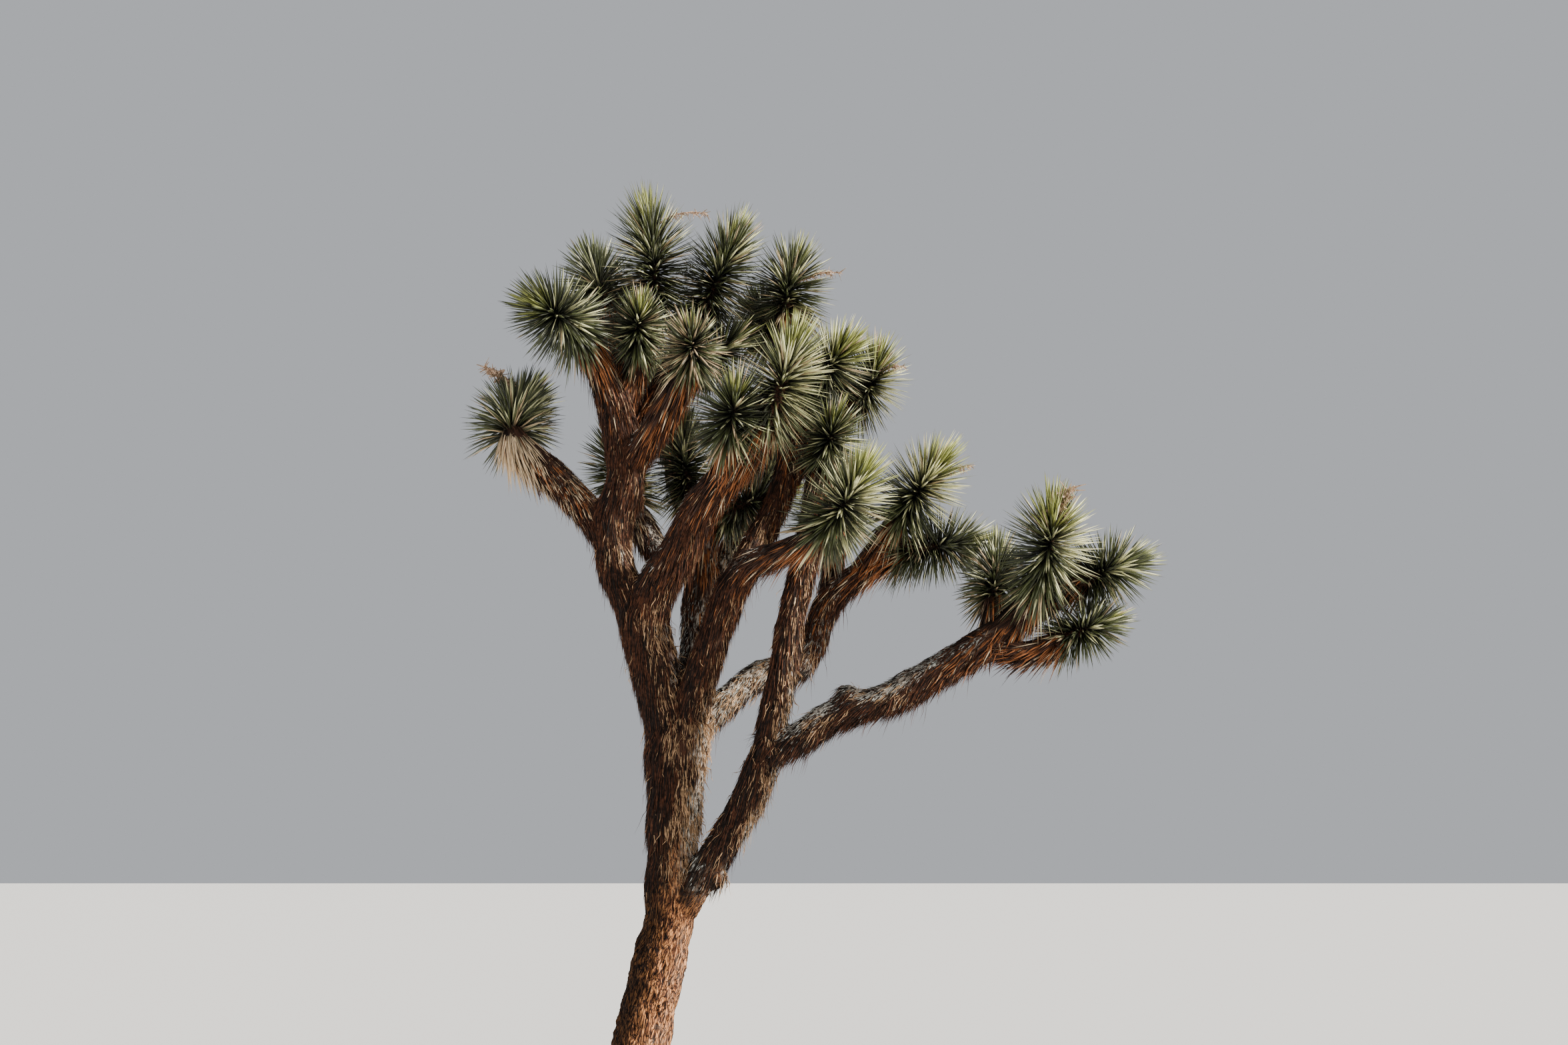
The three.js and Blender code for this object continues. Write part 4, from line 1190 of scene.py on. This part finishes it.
def head_leaves(stem, leaf, rng):
    """The live leaves of one head: the oldest bent back at the foot, the youngest upright at the tip."""
    leafy = (1 - stem.leafy_from) * stem.path.length
    number = int(leaf.per_head + leaf.per_metre * leafy)
    up = (np.arange(number) + rng.random(number)) / number
    share = mix(stem.leafy_from, 1, 0.02 + 0.96 * up)
    axis, side = stem.path.way(share), stem.side_at(share)
    turn = np.arange(number) * GOLDEN_ANGLE + 0.15 * rng.standard_normal(number)
    out = off_axis(axis, side, turn)
    lowest = math.radians(LOWEST_LEAVES.get(stem.name, LOWEST_LEAF))
    lean = mix(lowest, TOPMOST_LEAF, up**LEAN_CURVE) + leaf.spread * rng.standard_normal(number)
    lean = np.clip(lean, 0.03, 2.6)
    way = unit(axis * np.cos(lean)[:, None] + out * np.sin(lean)[:, None])
    face = unit(axis * np.sin(lean)[:, None] - out * np.cos(lean)[:, None])
    start = 0.018 * np.sin(lean)
    root = stem.path.at(share) + out * start[:, None]
    length = stem.reach * (0.72 + 0.36 * rng.random(number) ** 0.55) * mix(1, 0.94, up) - start
    width = leaf.width * (0.85 + 0.3 * rng.random(number))
    sag = (0.015 + 0.22 * (1 - up) ** 4) * rng.random(number)

    # A leaf that would run into another limb is left out.
    others = [limb for limb in EVERYTHING if limb is not stem]
    free = np.ones(number, bool)
    for part in (0.5, 0.8, 1.0):
        free &= ~blocked(root + way * (length * part)[:, None], others)

    # Leaves facing the sun get the pale tint as painted sunlight, those near another head or facing away from the sun
    # get the shaded tint as painted shade, more so on heads outside the sunlit list, and the lowest are dead.
    painted_sun_share, young_from, painted_gloom = (1, 0.86, 0) if stem.name in PAINTED_SUNLIT_HEADS else (0.34, 0.94, 0.22)
    chance = rng.random(number)
    painted_sun = painted_sun_share * smooth_step(facing(way, SUN_SIDE) + 0.3 * rng.standard_normal(number), -0.5, 0.9)
    tint = np.where(chance < mix(0.95, 0.22, painted_sun), DEEP, PAINTED_SUNLIT)
    tint = np.where(up + 0.16 * (chance - 0.5) > young_from, YOUNG, tint)
    neighbours = [other for other in STEMS.values() if other is not stem]
    tops = np.array([other.path.at(0.5 * (1 + other.leafy_from)) for other in neighbours])
    reaches = np.array([other.reach for other in neighbours])
    crowd = (np.linalg.norm((root + way * length[:, None])[:, None] - tops[None], axis=2) / reaches).min(1)
    # Painted shade is dealt to leaves crowded by other heads and to those facing away from the sun, and more of it on
    # heads outside the sunlit list.
    painted_shade = smooth_step(1.15 - crowd, 0.0, 0.5) + 0.5 * smooth_step(-facing(way, SUN_SIDE), 0.1, 0.8) + painted_gloom
    tint = np.where(rng.random(number) < 0.8 * painted_shade, SHADED, tint)
    tint = np.where((up < 0.08) & (chance < 0.35), OLD, tint)
    tint = np.where(rng.random(number) < stem.dry, OLD, tint)
    rows = (root, way, face, length, width, sag, tint, rng.random(number))
    return tuple(row[free] for row in rows)


class TREE_OT_coat(bpy.types.Operator):
    """Lay the coat of long dead leaves back down the limbs below each head"""

    bl_idname = "joshua_tree.coat"
    bl_label = "Dead Leaf Coat"

    def execute(self, context):
        coat = context.scene.joshua_coat
        rng = np.random.default_rng(coat.seed)
        rows = [coat_leaves(limb, coat, rng) for limb in EVERYTHING]
        kinds = []
        for label in COAT_KINDS:
            name, tint = "coat_" + label, tuple(getattr(coat, label))
            dark = tuple(0.55 * c for c in tint)
            material = blade_material(name, dark, tint, dark, tint, COAT_ROUGHNESS, COAT_CONTRAST, COAT_GLOSS)
            kinds.append((name, material))
        grow_blades([row for row in rows if row is not None], kinds, COAT_OUTLINE, COAT_KEEL, {})
        return {"FINISHED"}


def coat_leaves(limb, coat, rng):
    """Dead leaves on one limb, longest and loosest next to the live ones."""
    skirted = limb.name in FULL_SKIRTS
    crowded, past_leaves, old_straw, less_brown = (1.7, 0.22, 0.36, 0.4) if skirted else (1, 0.06, 0.16, 0)
    number = int(coat.per_metre * limb.path.length * crowded)
    share = rng.random(number)
    to_leaves = np.interp(share, limb.shares, limb.to_leaves)
    keep = to_leaves < coat.reach * (0.75 + 0.5 * rng.random(number))
    if limb.name in STEMS:
        keep &= share < limb.leafy_from + past_leaves
    else:
        keep &= share > 0.04
    if not keep.any():
        return None
    turn = rng.random(number) * 2 * math.pi
    axis, side = limb.path.way(share), limb.side_at(share)
    out = off_axis(axis, side, turn)
    bare = smooth_step(out[:, 2], 0.0, 0.5) * smooth_step(to_leaves, 0.3, 0.6) * smooth_step(1 - axis[:, 2], 0.2, 0.5)
    keep &= rng.random(number) > bare
    share, to_leaves, axis, out = (values[keep] for values in (share, to_leaves, axis, out))
    number = len(share)

    # The younger a leaf, the longer it is and the further it stands off. Loose ones and skirts hang down.
    age = np.clip(to_leaves / coat.reach, 0, 1)
    loose = rng.random(number) ** 3
    skirt = (1 - smooth_step(to_leaves, 0.12, 0.42)) if skirted else np.zeros(number)
    lift = mix(0.22, 0.08, np.sqrt(age)) * (0.4 + 0.8 * rng.random(number)) + 0.35 * loose
    pull = 0.12 * rng.random(number) + 0.5 * loose + skirt * (0.25 + 0.55 * rng.random(number))
    way = unit(-axis * np.cos(lift)[:, None] + out * np.sin(lift)[:, None] + DOWN * pull[:, None])
    way = unit(way - out * np.minimum(np.sum(way * out, 1) - 0.06, 0)[:, None])
    face = unit(out - way * np.sum(out * way, 1)[:, None])
    root = limb.path.at(share) + out * (np.interp(share, limb.shares, limb.radii) * 0.93)[:, None]
    length = coat.length * mix(1.0, 0.42, age) * (0.6 + 0.6 * rng.random(number)) * (1 + 0.3 * skirt)
    width = coat.width * (0.6 + 0.7 * rng.random(number)) * mix(1, 0.8, age)
    sag = 0.12 * rng.random(number)

    # Straw next to the live leaves and as painted sunlight on the side facing the sun, more rust, placed as painted
    # warm bounced light, on the warm side, and brown elsewhere.
    chance = rng.random(number)
    straw_share = mix(0.16, 0.05, np.clip(to_leaves / 0.35, 0, 1))
    if limb.name in STRAW_SKIRTS:
        straw_share = mix(0.95, old_straw, np.clip(to_leaves / 0.55, 0, 1))
    painted_bounce_light = smooth_step(facing(out, PAINTED_BOUNCE_SIDE) + 0.35 * rng.standard_normal(number), -0.5, 0.7)
    brown_share = mix(0.84, 0.22, painted_bounce_light) + 0.35 * age - less_brown
    tint = np.where(chance < straw_share, STRAW, np.where(chance > 1 - brown_share, BROWN, RUST))
    # Painted sunlight: dead leaves facing the sun get the straw colour.
    painted_sun = smooth_step(facing(out, SUN_SIDE), 0.5, 1.0) * rng.random(number)
    tint = np.where(painted_sun > 0.80, STRAW, tint)
    return root, way, face, length, width, sag, tint, rng.random(number)


class TREE_OT_strands(bpy.types.Operator):
    """Scatter the short hanging strands of old leaves on the bark"""

    bl_idname = "joshua_tree.strands"
    bl_label = "Short Strands"

    def execute(self, context):
        coat = context.scene.joshua_coat
        tree = strand_tree()
        for index, (label, tint, *numbers) in enumerate(STRANDS):
            name, tint = "strands_" + label, tuple(getattr(coat, "strand_" + tint))
            dark, light = tuple(0.28 * c for c in tint), tuple(min(1, 1.4 * c) for c in tint)
            material = strand_material(name, dark, light, 0.35)
            inputs = dict(zip(("Bends", "Curl", "Droop", "Density", "Length", "Width", "Lift"), numbers))
            inputs["Density"] *= coat.cover
            inputs.update({"Cover": label + "_cover", "Seed": 100 * index + 3, "Finish": material})
            halves = []
            for skin in ("bark_lower", "bark_upper"):
                copy = bpy.data.objects[skin].data.copy()
                halves.append(grow_by(tree, f"{name}_on_{skin}", copy, inputs))
            finish_piece(join(halves, name), material)
        return {"FINISHED"}


# ---- flower stalks and stage --------------------------------------------------


class TREE_OT_stalks(bpy.types.Operator):
    """Make the dried flower stalks with their spent husks"""

    bl_idname = "joshua_tree.stalks"
    bl_label = "Flower Stalks"

    def execute(self, context):
        stalk = context.scene.joshua_stalk
        material = strand_material("dry_stalk", tuple(stalk.dry_dark), tuple(stalk.dry), 1.0)
        tree = stalk_tree()
        made = []

        def add(name, line, seed, bulk, breadth, bare):
            """A stalk with husks along the line: bulk sizes all of it, and breadth its girth alone."""
            inputs = {
                "Stalk Radius": stalk.radius * bulk * breadth,
                "Husk Spacing": stalk.husk_spacing / bulk,
                "Husk Length": stalk.husk_length * bulk,
                "Husk Width": stalk.husk_width * bulk * breadth,
                "Bare Share": bare,
                "Seed": seed,
                "Finish": material,
            }
            made.append(grow_by(tree, name, line_data(name, line), inputs))

        for index, (head, (share, way, length)) in enumerate(STALKS.items()):
            stem = STEMS[head]
            way, length = unit(np.array(way, float)), length * stem.reach
            start = stem.path.at(share)
            knee = start + (stem.path.way(1.0) + way) * length * STALK_RISE
            path = arc_path(start, knee, start + way * length)
            thick = head in THICK_STALKS
            bulk = THICK_BULK if thick else 1
            seed = stalk.seed + index
            add(f"stalk_{index}", path.at(np.linspace(0, 1, 12)), seed, bulk, 1, STALK_BARE / bulk)
            if thick:
                foot = path.at(np.linspace(*FOOT_SHARES, 8))
                add(f"stalk_foot_{index}", foot, seed + 50, 1, FOOT_BREADTH, 0.0)
        finish_piece(join(made, "flower_stalks"), material)
        return {"FINISHED"}


def line_data(name, line):
    """A curve that runs through the places."""
    curve = bpy.data.curves.new(name, "CURVE")
    curve.dimensions = "3D"
    spline = curve.splines.new("POLY")
    spline.points.add(len(line) - 1)
    spline.points.foreach_set("co", np.hstack([line, np.ones((len(line), 1))]).ravel())
    return curve


class TREE_OT_stage(bpy.types.Operator):
    """Set the camera, the floor and the soft studio light"""

    bl_idname = "joshua_tree.stage"
    bl_label = "Stage"

    def execute(self, context):
        stage = context.scene.joshua_stage
        corners = np.array([(-1, -1, 0), (1, -1, 0), (1, 1, 0), (-1, 1, 0)]) * stage.floor_size / 2
        floor = mesh_piece("floor", corners, np.array([[0, 1, 2, 3]]))
        floor.data.materials.append(new_material("floor", Roughness=0.9, Base_Color=(*stage.floor, 1))[0])

        world = bpy.data.worlds.new("studio")
        context.scene.world = world
        world.use_nodes = True
        background = world.node_tree.nodes["Background"]
        background.inputs["Color"].default_value = (*stage.sky, 1)
        background.inputs["Strength"].default_value = SKY_STRENGTH

        lamp = bpy.data.lights.new("key", "SUN")
        lamp.energy, lamp.angle, lamp.color = SUN_STRENGTH, SUN_WIDTH, SUN_COLOUR
        new_object("key", lamp).rotation_euler = Vector(SUN_RAYS).to_track_quat("-Z", "Y").to_euler()

        camera = bpy.data.cameras.new("camera")
        camera.sensor_fit = "HORIZONTAL"
        camera.sensor_width, camera.lens = FULL_FRAME, LENS
        camera.clip_end = 500
        holder = new_object("camera", camera)
        holder.location = EYE
        holder.rotation_euler = (EYE_TILT, 0, 0)
        context.scene.camera = holder
        return {"FINISHED"}


class TREE_PT_panel(bpy.types.Panel):
    """Lists the pieces of the Joshua tree"""

    bl_idname = "TREE_PT_panel"
    bl_label = "Joshua Tree"
    bl_space_type = "VIEW_3D"
    bl_region_type = "UI"
    bl_category = "Joshua Tree"

    def draw(self, context):
        for operator in OPERATORS:
            self.layout.operator(operator.bl_idname)


OPERATORS = (TREE_OT_stage, TREE_OT_bark, TREE_OT_leaves, TREE_OT_coat, TREE_OT_strands, TREE_OT_stalks)
SETTINGS = {
    "joshua_bark": BarkSettings,
    "joshua_leaf": LeafSettings,
    "joshua_coat": CoatSettings,
    "joshua_stalk": StalkSettings,
    "joshua_stage": StageSettings,
}


def register():
    for kind in (*SETTINGS.values(), *OPERATORS, TREE_PT_panel):
        bpy.utils.register_class(kind)
    for name, kind in SETTINGS.items():
        setattr(bpy.types.Scene, name, PointerProperty(type=kind))


def unregister():
    for name in SETTINGS:
        delattr(bpy.types.Scene, name)
    for kind in (TREE_PT_panel, *OPERATORS, *SETTINGS.values()):
        bpy.utils.unregister_class(kind)


def main():
    register()
    bpy.ops.joshua_tree.stage()
    bpy.ops.joshua_tree.bark()
    bpy.ops.joshua_tree.leaves()
    bpy.ops.joshua_tree.coat()
    bpy.ops.joshua_tree.strands()
    bpy.ops.joshua_tree.stalks()


if __name__ == "__main__":
    main()
